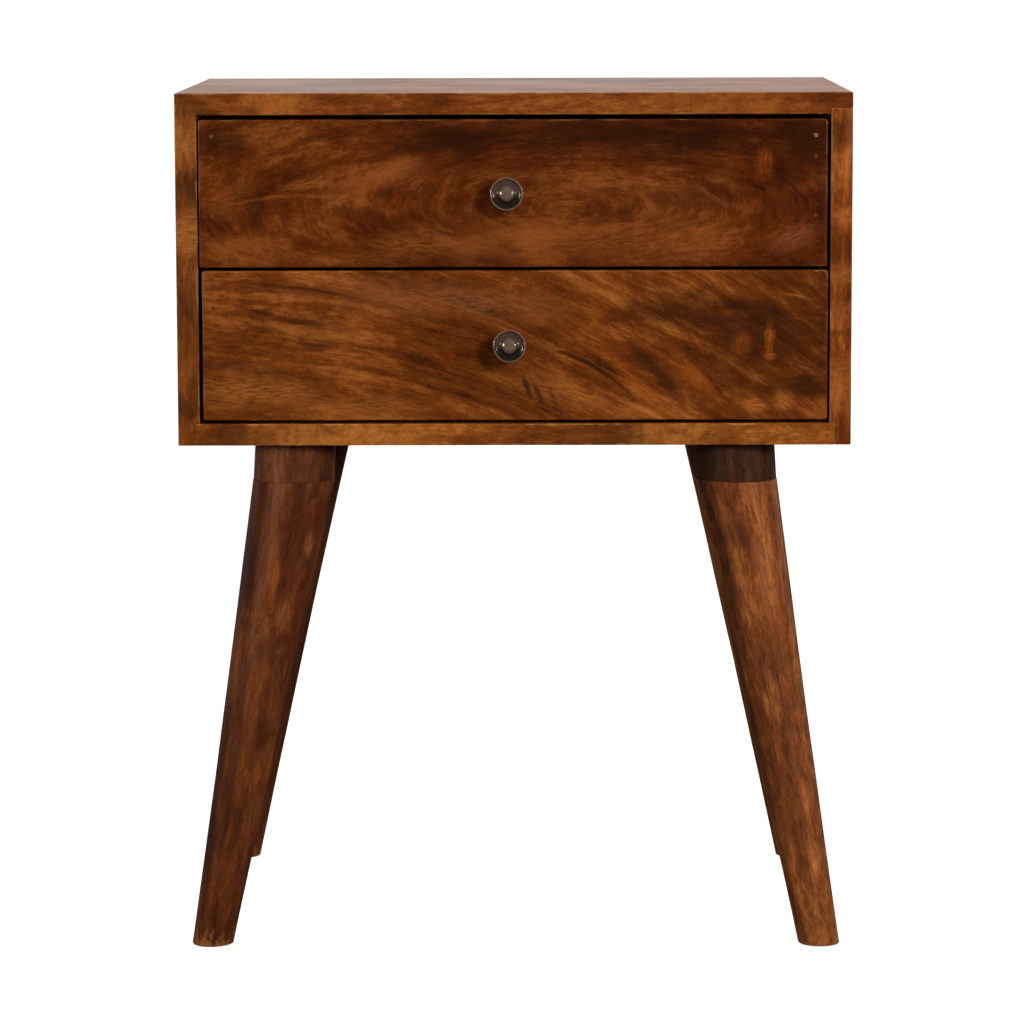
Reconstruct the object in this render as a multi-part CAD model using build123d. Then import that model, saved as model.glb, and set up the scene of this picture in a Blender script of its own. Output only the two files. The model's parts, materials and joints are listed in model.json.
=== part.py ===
from build123d import *
import math
import os

# A bedside cabinet: a solid-wood case with two drawers on four splayed, turned legs.
# Millimetres, +Z up, +X to the right, and the drawers open towards -Y. The pieces are laid out
# with the case's front plane at y = 0 and the floor at z = 0. The last lines move them all along Y,
# so that the origin is on the floor under the middle of the object's box.

# ---- case ----
CASE_WIDTH = 450.0
CASE_DEPTH = 300.0
CASE_HEIGHT = 235.0
BOARD = 14.5                # thickness of the top, the sides and the bottom
BOARD_EDGE = 0.8            # radius on the boards' arrises
HOUSING = 4.0               # depth of the rebates at the case's corners
BACK_BOARD = 5.0            # plywood back
REBATE = 7.0                # how far the back board laps onto each board round it
BACK_SLACK = 0.5            # gap round the back board in its rebate

# ---- legs ----
LEG_HEIGHT = 315.0          # floor to the joint between leg and block
BLOCK_HEIGHT = 27.0
LEG_TOP_RADIUS = 27.6       # square to the leg's own line
LEG_FOOT_RADIUS = 13.8
BLOCK_RADIUS = 27.5
LEG_TOP_INSET_X = 75.0      # leg's centre at the joint, in from the case's side
LEG_TOP_INSET_Y = 40.0      # and in from the case's front or back
FOOT_INSET_X = 18.5         # leg's centre on the floor
FOOT_INSET_Y = 8.0
BLOCK_LEAN = 3.8            # degrees, outwards, in the plane of the leg's splay
TURNED_EDGE = 1.0           # radius on the ends of legs and blocks

# ---- drawers ----
FRONT_BOARD = 18.0
FRONT_EDGE = 1.0
FRONT_RECESS = 0.6          # the fronts sit this far behind the case's front plane
GAP_TOP = 3.0               # above the upper front
GAP_MIDDLE = 2.1            # between the two fronts
GAP_BOTTOM = 2.2            # under the lower front
LOWER_FRONT_EXTRA = 2.1     # how much taller the lower front is than the upper one
END_GAPS = {"upper": (0.8, 2.0), "lower": (2.3, 1.3)}    # left and right of each hand-fitted front
DRAWER_BOARD = 12.0         # drawer sides and backs
DRAWER_EDGE = 0.6
DRAWER_PLY = 4.0            # drawer bottoms
PLY_GROOVE = 5.0            # how deep the bottoms sit in the fronts and sides
PLY_HEIGHT = 8.0            # underside of a bottom above the lower edge of its drawer sides
PLY_FIT = 0.1               # gap round a bottom in its grooves
PLY_OVERCUT = 10.0          # how far a bottom's groove runs on past the rear of the drawer
SIDE_SPACE = 4.0            # between a drawer side and the side panel
SIDE_DROP = 7.0             # top edge of a drawer side, below the top of its front
SIDE_LIFT = 7.0             # lower edge of a drawer side, above the bottom of its front
REAR_SPACE = 9.0            # behind the drawers, in front of the back board

# ---- runners ----
RUNNER_HEIGHT = 10.0
RUNNER_DROP = 41.0          # top of a runner, below the top of its drawer's front
RUNNER_GROOVE = 5.0         # depth of the groove in a drawer side
RUNNER_FIT = 0.4            # sideways and under a runner in its groove
RUNNER_TOP_FIT = 0.2        # over a runner, where the drawer hangs on it
RUNNER_END_SPACE = 20.0     # behind a runner, in front of the back board
RUNNER_SCREW_INSET = 35.0   # runner's screws, in from its ends
STOP_FIT = 0.2              # runner's front end to the drawer front that closes against it

# ---- knobs ----
KNOB_RADIUS = 11.0
KNOB_REACH = 22.0           # knob's tip in front of the drawer front
KNOB_FOOT_RADIUS = 7.5
KNOB_FOOT = 1.6             # thickness of the foot's edge
KNOB_NECK_RADIUS = 4.8
KNOB_RIM = 1.4              # width of the rolled rim
KNOB_RIM_DROP = 0.8         # rim's crest behind the button's tip
KNOB_DISH = 3.4             # dish's floor behind the button's tip
KNOB_CUP = 2.6              # straight side of the cup, under the rim's crest
KNOB_WAIST = 7.0            # narrowest place of the neck, above the drawer front
KNOB_FOOT_CURVE = 0.29      # how far the middle of the foot's curve is along both its sizes
KNOB_CUP_CURVE = 0.38       # the same for the cup's, up the knob
KNOB_BUTTON_RADIUS = 5.2
KNOB_BUTTON_WALL = 0.6      # straight side of the button, under its dome
KNOB_OFFSETS = {"upper": (-4.6, 0.8), "lower": (-3.0, 1.5)}    # across and up from a front's middle

# ---- fasteners ----
HOLE_FIT = 0.05             # radial gap round dowels, nails and screws in their holes
GLUE_SPACE = 1.0            # at the blind end of a dowel's hole
DOWEL_RADIUS = 4.0
DOWEL_LENGTH = 30.0
DOWEL_IN_BOARD = 7.0        # how much of a dowel is in the board it joins face on
DOWELS_PER_JOINT = 3
DOWEL_INSET = 37.5          # first and last dowel, in from the front and rear
NAIL_RADIUS = 0.9
NAIL_HEAD_RADIUS = 1.4
NAIL_HEAD = 1.0
NAIL_TIP = 3.0
FRONT_NAIL_LENGTH = 40.0
FRONT_NAIL_DROPS = (11.0, 25.0, 64.0)    # nails below the top of a front
SMALL_NAIL_LENGTH = 20.0
BACK_NAIL_INSET_X = 40.0    # back board's nails, in from the lap's corners
BACK_NAIL_INSET_Z = 30.0
REAR_NAIL_INSET = 12.0      # nails in a drawer's back, in from its top and bottom
BOTTOM_NAIL_INSET = 45.0    # nails in a drawer's bottom, in from its sides
SCREW_RADIUS = 1.75
SCREW_HEAD_RADIUS = 3.5
SCREW_HEAD = 2.6
SCREW_TIP = 4.0
RUNNER_SCREW_LENGTH = 18.0
BLOCK_SCREW_LENGTH = 38.0
BLOCK_SCREW_SPREAD = 13.0   # block screws each side of the block's centre
KNOB_SCREW_RADIUS = 2.0
KNOB_SCREW_HEAD_RADIUS = 4.0
KNOB_SCREW_HEAD = 2.4
KNOB_SCREW_EDGE = 0.8       # rounding of its head
KNOB_SCREW_IN_KNOB = 10.0
BOLT_RADIUS = 4.0
BOLT_IN_LEG = 38.0
BOLT_IN_BLOCK = 16.0
INSERT_RADIUS = 6.0
INSERT_LENGTH = 13.0
INSERT_DEPTH = 2.0          # insert's end above the joint of leg and block

# ---- levels and lines worked out from the sizes above ----
CASE_Z = LEG_HEIGHT + BLOCK_HEIGHT              # underside of the case
TOP_Z = CASE_Z + CASE_HEIGHT                    # top of the object
HALF = CASE_WIDTH / 2
INNER_HALF = HALF - BOARD                       # inside face of a side panel
FLOOR_Z = CASE_Z + BOARD                        # inside face of the bottom panel
CEILING_Z = TOP_Z - BOARD                       # underside of the top panel
BACK_Y = CASE_DEPTH - BACK_BOARD                # inside face of the back board

FRONTS_HEIGHT = CEILING_Z - FLOOR_Z - GAP_TOP - GAP_MIDDLE - GAP_BOTTOM
FRONT_HEIGHTS = {"upper": (FRONTS_HEIGHT - LOWER_FRONT_EXTRA) / 2,
                 "lower": (FRONTS_HEIGHT + LOWER_FRONT_EXTRA) / 2}
FRONT_BACK_Y = FRONT_RECESS + FRONT_BOARD       # rear face of a drawer front
SIDE_OUTER = INNER_HALF - SIDE_SPACE            # outer face of a drawer side
SIDE_INNER = SIDE_OUTER - DRAWER_BOARD
DRAWER_REAR_Y = BACK_Y - REAR_SPACE
DRAWER_TOPS = {"upper": CEILING_Z - GAP_TOP,
               "lower": CEILING_Z - GAP_TOP - FRONT_HEIGHTS["upper"] - GAP_MIDDLE}
ENDS = {"left": -1, "right": 1}
RUNNER_REACH = INNER_HALF - SIDE_OUTER + RUNNER_GROOVE - RUNNER_FIT


def box(x, y, z):
    """A block between two places along each axis."""
    return Pos((x[0] + x[1]) / 2, (y[0] + y[1]) / 2, (z[0] + z[1]) / 2) * Box(
        abs(x[1] - x[0]), abs(y[1] - y[0]), abs(z[1] - z[0]))


def board(x, y, z, edge=BOARD_EDGE):
    """A planed board with every arris softened."""
    blank = box(x, y, z)
    return fillet(blank.edges(), edge)


def rod(start, direction, length, radius, tip=0.0):
    """A round bar from a point along a direction, with an optional pointed far end."""
    place = Plane(origin=start, z_dir=direction)
    bar = place * Pos(0, 0, (length - tip) / 2) * Cylinder(radius, length - tip)
    if tip:
        bar += place * Pos(0, 0, length - tip / 2) * Cone(radius, radius * 0.15, tip)
    return bar


def nail(start, direction, length):
    """A nail with a flat head: the head's face is at start and the point is the far end."""
    head = rod(start, direction, NAIL_HEAD, NAIL_HEAD_RADIUS)
    return head + rod(start, direction, length, NAIL_RADIUS, tip=NAIL_TIP)


def nail_hole(start, direction, length):
    head = rod(start, direction, NAIL_HEAD, NAIL_HEAD_RADIUS + HOLE_FIT)
    return head + rod(start, direction, length + HOLE_FIT, NAIL_RADIUS + HOLE_FIT)


def countersunk(start, direction, length, gap=0.0):
    """A countersunk screw, or with a gap the hole that it turns into."""
    place = Plane(origin=start, z_dir=direction)
    cone = Cone(SCREW_HEAD_RADIUS + gap, SCREW_RADIUS + gap, SCREW_HEAD)
    shank = rod(start, direction, length + gap, SCREW_RADIUS + gap, tip=0.0 if gap else SCREW_TIP)
    return place * Pos(0, 0, SCREW_HEAD / 2) * cone + shank


def spread(first, last, count):
    """Evenly spaced places from first to last."""
    return [first + (last - first) * i / (count - 1) for i in range(count)]


def cut(piece, tools):
    """A piece with the holes for all its fasteners."""
    for tool in tools:
        piece -= tool
    return piece


def group(solids):
    """Several separate pieces of one kind, kept as one node."""
    return Compound([solid for piece in solids for solid in piece.solids()])


# ---- case ----
def dowel_places():
    """Y places of the dowels in one joint of the case."""
    return spread(DOWEL_INSET, CASE_DEPTH - DOWEL_INSET, DOWELS_PER_JOINT)


def top_dowels(gap=0.0):
    """Upright dowels, up into the top panel and down into the side panels."""
    space = GLUE_SPACE if gap else 0.0
    start_z = CEILING_Z + HOUSING - (DOWEL_LENGTH - DOWEL_IN_BOARD)
    return [rod((side * (HALF - BOARD / 2), y, start_z), (0, 0, 1),
                DOWEL_LENGTH + space, DOWEL_RADIUS + gap)
            for side in ENDS.values()
            for y in dowel_places()]


def bottom_dowels(gap=0.0):
    """Level dowels, out into the side panels and in to the ends of the bottom panel."""
    space = GLUE_SPACE if gap else 0.0
    start_x = INNER_HALF + HOUSING + DOWEL_IN_BOARD
    return [rod((side * start_x, y, CASE_Z + BOARD / 2), (-side, 0, 0),
                DOWEL_LENGTH + space, DOWEL_RADIUS + gap)
            for side in ENDS.values()
            for y in dowel_places()]


def back_nails(make=nail):
    """Nails round the edge of the back board, in the middle of its lap on the case."""
    x_line = INNER_HALF + REBATE / 2
    low, high = FLOOR_Z - REBATE / 2, CEILING_Z + REBATE / 2
    level = spread(-x_line + BACK_NAIL_INSET_X, x_line - BACK_NAIL_INSET_X, 4)
    upright = spread(low + BACK_NAIL_INSET_Z, high - BACK_NAIL_INSET_Z, 3)
    places = [(x, z) for z in (low, high) for x in level]
    places += [(side * x_line, z) for side in ENDS.values() for z in upright]
    return [make((x, CASE_DEPTH, z), (0, -1, 0), SMALL_NAIL_LENGTH) for x, z in places]


def back_rebate():
    """The step that the back board sits in, cut round the rear of the case."""
    x, low, high = INNER_HALF + REBATE + BACK_SLACK, FLOOR_Z - REBATE, CEILING_Z + REBATE
    return box((-x, x), (BACK_Y, CASE_DEPTH + 1), (low - BACK_SLACK, high + BACK_SLACK))


def back_panel():
    x = INNER_HALF + REBATE
    sheet = box((-x, x), (BACK_Y, CASE_DEPTH), (FLOOR_Z - REBATE, CEILING_Z + REBATE))
    return cut(sheet, back_nails(nail_hole))


def corner_rebates(x, z):
    """Steps along both ends of the case, between two distances from its middle and two levels."""
    return [box((side * x[0], side * x[1]), (-1, CASE_DEPTH + 1), z) for side in ENDS.values()]


def top_panel():
    """The top, rebated over the upper ends of the side panels."""
    blank = board((-HALF, HALF), (0, CASE_DEPTH), (CEILING_Z, TOP_Z))
    tools = corner_rebates((INNER_HALF, HALF + 1), (CEILING_Z - 1, CEILING_Z + HOUSING))
    return cut(blank, tools + [back_rebate()] + top_dowels(HOLE_FIT) + back_nails(nail_hole))


def side_panel(side):
    """A side, rebated over the end of the bottom panel."""
    blank = board((side * INNER_HALF, side * HALF), (0, CASE_DEPTH), (CASE_Z, CEILING_Z + HOUSING))
    tools = corner_rebates((INNER_HALF - 1, INNER_HALF + HOUSING), (CASE_Z - 1, FLOOR_Z))
    tools += [back_rebate()] + top_dowels(HOLE_FIT) + bottom_dowels(HOLE_FIT)
    return cut(blank, tools + back_nails(nail_hole) + runner_screws(HOLE_FIT))


def bottom_panel():
    blank = board((-INNER_HALF - HOUSING, INNER_HALF + HOUSING), (0, CASE_DEPTH), (CASE_Z, FLOOR_Z))
    tools = [back_rebate()] + bottom_dowels(HOLE_FIT) + back_nails(nail_hole)
    return cut(blank, tools + block_screws(HOLE_FIT))


# ---- runners ----
def runner_span():
    """Front and rear end of every runner."""
    return FRONT_BACK_Y + STOP_FIT, BACK_Y - RUNNER_END_SPACE


def runner(drawer, side):
    """A batten on the inside of a side panel; the drawer front closes against its end."""
    top = DRAWER_TOPS[drawer] - RUNNER_DROP
    batten = box((side * (INNER_HALF - RUNNER_REACH), side * INNER_HALF), runner_span(),
                 (top - RUNNER_HEIGHT, top))
    return cut(batten, runner_screws(HOLE_FIT))


def runner_screws(gap=0.0):
    """Two countersunk screws through each runner into the side panel."""
    near, far = runner_span()
    return [countersunk((side * (INNER_HALF - RUNNER_REACH), y,
                         DRAWER_TOPS[drawer] - RUNNER_DROP - RUNNER_HEIGHT / 2),
                        (side, 0, 0), RUNNER_SCREW_LENGTH, gap)
            for drawer in DRAWER_TOPS
            for side in ENDS.values()
            for y in (near + RUNNER_SCREW_INSET, far - RUNNER_SCREW_INSET)]


# ---- legs ----
def leg_lines():
    """Joint centre and foot centre of each leg, as name: (joint x, y, foot x, y)."""
    lines = {}
    for end, y_joint, y_foot in (("front", LEG_TOP_INSET_Y, FOOT_INSET_Y),
                                 ("rear", CASE_DEPTH - LEG_TOP_INSET_Y, CASE_DEPTH - FOOT_INSET_Y)):
        for hand, side in ENDS.items():
            lines[f"{end}_{hand}"] = (side * (HALF - LEG_TOP_INSET_X), y_joint,
                                      side * (HALF - FOOT_INSET_X), y_foot)
    return lines


LEGS = leg_lines()


def leg_direction(line):
    """Unit direction of a leg, from the floor up to its joint."""
    return (Vector(line[0], line[1], LEG_HEIGHT) - Vector(line[2], line[3], 0)).normalized()


def turned(start, direction, length, radius_start, radius_end, low, high):
    """A turned taper along a sloping line, sawn level at two heights, with softened ends."""
    extra = 30.0
    slope = (radius_end - radius_start) / length
    place = Plane(origin=Vector(*start) - direction * extra, z_dir=direction)
    full = length + 2 * extra
    if slope:
        blank = Cone(radius_start - slope * extra, radius_end + slope * extra, full)
    else:
        blank = Cylinder(radius_start, full)
    slab = Pos(start[0], start[1], (low + high) / 2) * Box(CASE_WIDTH, CASE_WIDTH, high - low)
    piece = (place * Pos(0, 0, full / 2) * blank) & slab
    rims = [e for e in piece.edges() if e.geom_type != GeomType.LINE]
    return fillet(rims, TURNED_EDGE)


def leg(line):
    direction = leg_direction(line)
    length = (Vector(line[0], line[1], LEG_HEIGHT) - Vector(line[2], line[3], 0)).length
    wood = turned((line[2], line[3], 0), direction, length, LEG_FOOT_RADIUS, LEG_TOP_RADIUS,
                  0, LEG_HEIGHT)
    return wood - bolt(line, HOLE_FIT)


def leg_block(line):
    """The short block on top of a leg; it leans outwards less than the leg does."""
    out = Vector(line[2] - line[0], line[3] - line[1], 0).normalized()
    lean = math.radians(BLOCK_LEAN)
    direction = (Vector(0, 0, 1) * math.cos(lean) - out * math.sin(lean)).normalized()
    blank = turned((line[0], line[1], LEG_HEIGHT), direction, BLOCK_HEIGHT,
                   BLOCK_RADIUS, BLOCK_RADIUS, LEG_HEIGHT, CASE_Z)
    tools = [insert_shell(line, HOLE_FIT), bolt(line, HOLE_FIT)] + block_screws(HOLE_FIT)
    return cut(blank, tools)


def bolt(line, gap=0.0):
    """Hanger bolt on the leg's own line, across the joint between leg and block."""
    direction = leg_direction(line)
    start = Vector(line[0], line[1], LEG_HEIGHT) - direction * BOLT_IN_LEG
    return rod(start, direction, BOLT_IN_LEG + BOLT_IN_BLOCK + gap, BOLT_RADIUS + gap)


def insert_shell(line, gap=0.0):
    """Outside of the threaded insert, a little way up inside a block on the leg's line."""
    direction = leg_direction(line)
    start = Vector(line[0], line[1], LEG_HEIGHT) + direction * INSERT_DEPTH
    return rod(start, direction, INSERT_LENGTH, INSERT_RADIUS + gap)


def leg_insert(line):
    return insert_shell(line) - bolt(line, HOLE_FIT)


def block_screws(gap=0.0):
    """Two countersunk screws from inside the case down into each block."""
    return [countersunk((line[0] + step, line[1], FLOOR_Z), (0, 0, -1), BLOCK_SCREW_LENGTH, gap)
            for line in LEGS.values()
            for step in (-BLOCK_SCREW_SPREAD, BLOCK_SCREW_SPREAD)]


# ---- drawers ----
def drawer_levels(drawer):
    """Top and bottom of a drawer's front, then of its sides, then the two faces of its bottom."""
    top = DRAWER_TOPS[drawer]
    low = top - FRONT_HEIGHTS[drawer]
    return top, low, top - SIDE_DROP, low + SIDE_LIFT, low + SIDE_LIFT + PLY_HEIGHT


def drawer_bottom(drawer, gap=0.0):
    """Plywood bottom in grooves of the front and sides, under the back. With a gap it is the
    space for it, which runs on past the rear of the drawer."""
    _, _, _, _, ply_z = drawer_levels(drawer)
    x = SIDE_INNER + PLY_GROOVE - PLY_FIT + gap
    rear = DRAWER_REAR_Y + (PLY_OVERCUT if gap else 0.0)
    sheet = box((-x, x), (FRONT_BACK_Y - PLY_GROOVE + PLY_FIT - gap, rear),
                (ply_z - gap, ply_z + DRAWER_PLY + gap))
    return sheet if gap else cut(sheet, bottom_nails(drawer, nail_hole))


def front_nails(drawer, make=nail):
    """Nails through the front into the end grain of the sides."""
    middle = SIDE_OUTER - DRAWER_BOARD / 2
    return [make((side * middle, FRONT_RECESS, DRAWER_TOPS[drawer] - drop), (0, 1, 0),
                 FRONT_NAIL_LENGTH)
            for side in ENDS.values()
            for drop in FRONT_NAIL_DROPS]


def rear_nails(drawer, make=nail):
    """Nails through the sides into the ends of the back."""
    _, _, side_top, _, ply_z = drawer_levels(drawer)
    y = DRAWER_REAR_Y - DRAWER_BOARD / 2
    low = ply_z + DRAWER_PLY
    return [make((side * SIDE_OUTER, y, z), (-side, 0, 0), FRONT_NAIL_LENGTH)
            for side in ENDS.values()
            for z in (low + REAR_NAIL_INSET, side_top - REAR_NAIL_INSET)]


def bottom_nails(drawer, make=nail):
    """Nails up through the bottom into the back."""
    _, _, _, _, ply_z = drawer_levels(drawer)
    y = DRAWER_REAR_Y - DRAWER_BOARD / 2
    return [make((x, y, ply_z), (0, 0, 1), SMALL_NAIL_LENGTH)
            for x in spread(-SIDE_INNER + BOTTOM_NAIL_INSET, SIDE_INNER - BOTTOM_NAIL_INSET, 4)]


def knob_centre(drawer):
    top, low, _, _, _ = drawer_levels(drawer)
    across, up = KNOB_OFFSETS[drawer]
    return across, (top + low) / 2 + up


def knob_screw(drawer, gap=0.0):
    """Machine screw with a pan head, from inside the drawer through the front into the knob."""
    x, z = knob_centre(drawer)
    shank = rod((x, FRONT_BACK_Y, z), (0, -1, 0), FRONT_BOARD + KNOB_SCREW_IN_KNOB + gap,
                KNOB_SCREW_RADIUS + gap)
    if gap:
        return shank
    head = rod((x, FRONT_BACK_Y, z), (0, 1, 0), KNOB_SCREW_HEAD, KNOB_SCREW_HEAD_RADIUS)
    rim = head.edges().filter_by(GeomType.CIRCLE).group_by(Axis.Y)[-1]
    return shank + fillet(rim, KNOB_SCREW_EDGE)


def drawer_front(drawer):
    top, low, _, _, _ = drawer_levels(drawer)
    left_gap, right_gap = END_GAPS[drawer]
    blank = board((left_gap - INNER_HALF, INNER_HALF - right_gap), (FRONT_RECESS, FRONT_BACK_Y),
                  (low, top), FRONT_EDGE)
    tools = [drawer_bottom(drawer, PLY_FIT), knob_screw(drawer, HOLE_FIT)]
    return cut(blank, tools + front_nails(drawer, nail_hole))


def drawer_side(drawer, side):
    _, _, side_top, side_low, _ = drawer_levels(drawer)
    blank = board((side * SIDE_INNER, side * SIDE_OUTER), (FRONT_BACK_Y, DRAWER_REAR_Y),
                  (side_low, side_top), DRAWER_EDGE)
    runner_top = DRAWER_TOPS[drawer] - RUNNER_DROP
    groove = box((side * (SIDE_OUTER - RUNNER_GROOVE), side * (SIDE_OUTER + 1)),
                 (FRONT_BACK_Y - 1, DRAWER_REAR_Y + 1),
                 (runner_top - RUNNER_HEIGHT - RUNNER_FIT, runner_top + RUNNER_TOP_FIT))
    tools = [groove, drawer_bottom(drawer, PLY_FIT)]
    return cut(blank, tools + front_nails(drawer, nail_hole) + rear_nails(drawer, nail_hole))


def drawer_back(drawer):
    _, _, side_top, _, ply_z = drawer_levels(drawer)
    blank = board((-SIDE_INNER, SIDE_INNER), (DRAWER_REAR_Y - DRAWER_BOARD, DRAWER_REAR_Y),
                  (ply_z + DRAWER_PLY, side_top), DRAWER_EDGE)
    return cut(blank, rear_nails(drawer, nail_hole) + bottom_nails(drawer, nail_hole))


def knob_outline():
    """Half the knob's section, its radius along X and its reach along Y from the drawer front."""
    dish = KNOB_REACH - KNOB_DISH
    rim = KNOB_RIM / 2
    crest = KNOB_REACH - KNOB_RIM_DROP
    cup = crest - KNOB_CUP
    dome = KNOB_DISH - KNOB_BUTTON_WALL
    dome_radius = (KNOB_BUTTON_RADIUS ** 2 + dome ** 2) / (2 * dome)
    half_angle = math.asin(min(1.0, KNOB_BUTTON_RADIUS / dome_radius)) / 2
    on_dome = (dome_radius * math.sin(half_angle),
               KNOB_REACH - dome_radius * (1 - math.cos(half_angle)))
    foot_mid = (KNOB_NECK_RADIUS + (KNOB_FOOT_RADIUS - KNOB_NECK_RADIUS) * KNOB_FOOT_CURVE,
                KNOB_FOOT + (KNOB_WAIST - KNOB_FOOT) * KNOB_FOOT_CURVE)
    cup_mid = (KNOB_NECK_RADIUS + (KNOB_RADIUS - KNOB_NECK_RADIUS) * (1 - KNOB_CUP_CURVE),
               KNOB_WAIST + (cup - KNOB_WAIST) * KNOB_CUP_CURVE)
    return make_face(Wire([
        Line((0, 0), (KNOB_FOOT_RADIUS, 0)),
        Line((KNOB_FOOT_RADIUS, 0), (KNOB_FOOT_RADIUS, KNOB_FOOT)),
        ThreePointArc((KNOB_FOOT_RADIUS, KNOB_FOOT), foot_mid, (KNOB_NECK_RADIUS, KNOB_WAIST)),
        ThreePointArc((KNOB_NECK_RADIUS, KNOB_WAIST), cup_mid, (KNOB_RADIUS, cup)),
        Line((KNOB_RADIUS, cup), (KNOB_RADIUS, crest - rim)),
        ThreePointArc((KNOB_RADIUS, crest - rim), (KNOB_RADIUS - rim, crest),
                      (KNOB_RADIUS - KNOB_RIM, crest - rim)),
        Line((KNOB_RADIUS - KNOB_RIM, crest - rim), (KNOB_RADIUS - KNOB_RIM, dish)),
        Line((KNOB_RADIUS - KNOB_RIM, dish), (KNOB_BUTTON_RADIUS, dish)),
        Line((KNOB_BUTTON_RADIUS, dish), (KNOB_BUTTON_RADIUS, dish + KNOB_BUTTON_WALL)),
        ThreePointArc((KNOB_BUTTON_RADIUS, dish + KNOB_BUTTON_WALL), on_dome, (0, KNOB_REACH)),
        Line((0, KNOB_REACH), (0, 0)),
    ]))


def knob(drawer):
    """A cast knob: flared foot, waisted neck, and a dished head with a rolled rim and a button."""
    x, z = knob_centre(drawer)
    turned_knob = revolve(Plane.XZ * knob_outline(), Axis.Z)
    placed = Pos(x, FRONT_RECESS, z) * Rot(90, 0, 0) * turned_knob
    return placed - knob_screw(drawer, HOLE_FIT)


# ---- all the pieces ----
def case_pieces():
    pieces = {
        "top_panel": top_panel(),
        "bottom_panel": bottom_panel(),
        "back_panel": back_panel(),
        "back_panel_nails": group(back_nails()),
        "top_dowels": group(top_dowels()),
        "bottom_dowels": group(bottom_dowels()),
        "runner_screws": group(runner_screws()),
        "leg_block_screws": group(block_screws()),
        "leg_bolts": group([bolt(line) for line in LEGS.values()]),
        "leg_inserts": group([leg_insert(line) for line in LEGS.values()]),
    }
    for hand, side in ENDS.items():
        pieces[f"{hand}_side_panel"] = side_panel(side)
        for drawer in DRAWER_TOPS:
            pieces[f"{drawer}_{hand}_runner"] = runner(drawer, side)
    for name, line in LEGS.items():
        pieces[f"{name}_leg_block"] = leg_block(line)
        pieces[f"{name}_leg"] = leg(line)
    return pieces


def drawer_pieces(drawer):
    return {
        f"{drawer}_drawer_front": drawer_front(drawer),
        f"{drawer}_drawer_left_side": drawer_side(drawer, ENDS["left"]),
        f"{drawer}_drawer_right_side": drawer_side(drawer, ENDS["right"]),
        f"{drawer}_drawer_back": drawer_back(drawer),
        f"{drawer}_drawer_bottom": drawer_bottom(drawer),
        f"{drawer}_knob": knob(drawer),
        f"{drawer}_knob_screw": knob_screw(drawer),
        f"{drawer}_front_nails": group(front_nails(drawer)),
        f"{drawer}_back_nails": group(rear_nails(drawer)),
        f"{drawer}_bottom_nails": group(bottom_nails(drawer)),
    }


pieces = case_pieces()
for drawer_name in DRAWER_TOPS:
    pieces.update(drawer_pieces(drawer_name))

front_edge = min(piece.bounding_box().min.Y for piece in pieces.values())
rear_edge = max(piece.bounding_box().max.Y for piece in pieces.values())
shift = -(front_edge + rear_edge) / 2

os.makedirs("parts", exist_ok=True)
for name, piece in pieces.items():
    export_step(Pos(0, shift, 0) * piece, f"parts/{name}.step")
print(f"{len(pieces)} nodes, front plane at y = {shift:.3f}, depth {rear_edge - front_edge:.3f}")
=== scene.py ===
import json
import math

import bmesh
import bpy
import numpy as np
from mathutils import Matrix, Vector


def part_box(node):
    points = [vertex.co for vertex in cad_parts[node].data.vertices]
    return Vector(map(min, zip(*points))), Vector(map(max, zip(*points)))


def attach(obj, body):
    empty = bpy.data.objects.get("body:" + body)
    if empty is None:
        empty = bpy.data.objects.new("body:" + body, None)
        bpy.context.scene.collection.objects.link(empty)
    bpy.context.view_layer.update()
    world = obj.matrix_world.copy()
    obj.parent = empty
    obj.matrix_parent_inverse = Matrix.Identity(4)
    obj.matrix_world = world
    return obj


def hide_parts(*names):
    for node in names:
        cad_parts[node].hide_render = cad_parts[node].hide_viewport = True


bl_info = {
    "name": "Bedside cabinet",
    "version": (1, 0, 0),
    "blender": (4, 5, 0),
    "location": "3D View > Sidebar > Bedside",
    "description": "Stained hardwood bedside cabinet: turned legs, soft-edged drawer fronts, dished knobs",
    "category": "Object",
}

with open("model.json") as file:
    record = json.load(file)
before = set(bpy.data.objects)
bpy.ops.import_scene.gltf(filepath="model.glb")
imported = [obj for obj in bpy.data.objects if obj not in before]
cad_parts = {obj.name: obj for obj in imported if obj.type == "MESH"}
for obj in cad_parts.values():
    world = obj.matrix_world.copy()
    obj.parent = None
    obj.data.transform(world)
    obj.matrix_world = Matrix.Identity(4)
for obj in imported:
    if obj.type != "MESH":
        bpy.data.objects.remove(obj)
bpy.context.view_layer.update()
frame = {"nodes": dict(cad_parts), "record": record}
RECORD = frame["record"]
NODES = frame["nodes"]
MM = 0.001

LEG_NAMES = ("front_left", "front_right", "rear_left", "rear_right")
DRAWERS = ("upper", "lower")


# ---------------------------------------------------------------- sizes and colours

def number(name, description, default, unit="NONE", precision=2):
    return bpy.props.FloatProperty(name=name, description=description, default=default, unit=unit,
                                   precision=precision)


def length(name, description, default):
    return number(name, description, default, "LENGTH", 5)


def angle(name, description, degrees):
    return number(name, description, math.radians(degrees), "ROTATION", 5)


def power(name, description, watts):
    return number(name, description, watts, "POWER")


def colour(name, description, default):
    return bpy.props.FloatVectorProperty(name=name, description=description, default=default,
                                         subtype="COLOR", size=3, min=0.0, max=1.0)


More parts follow.
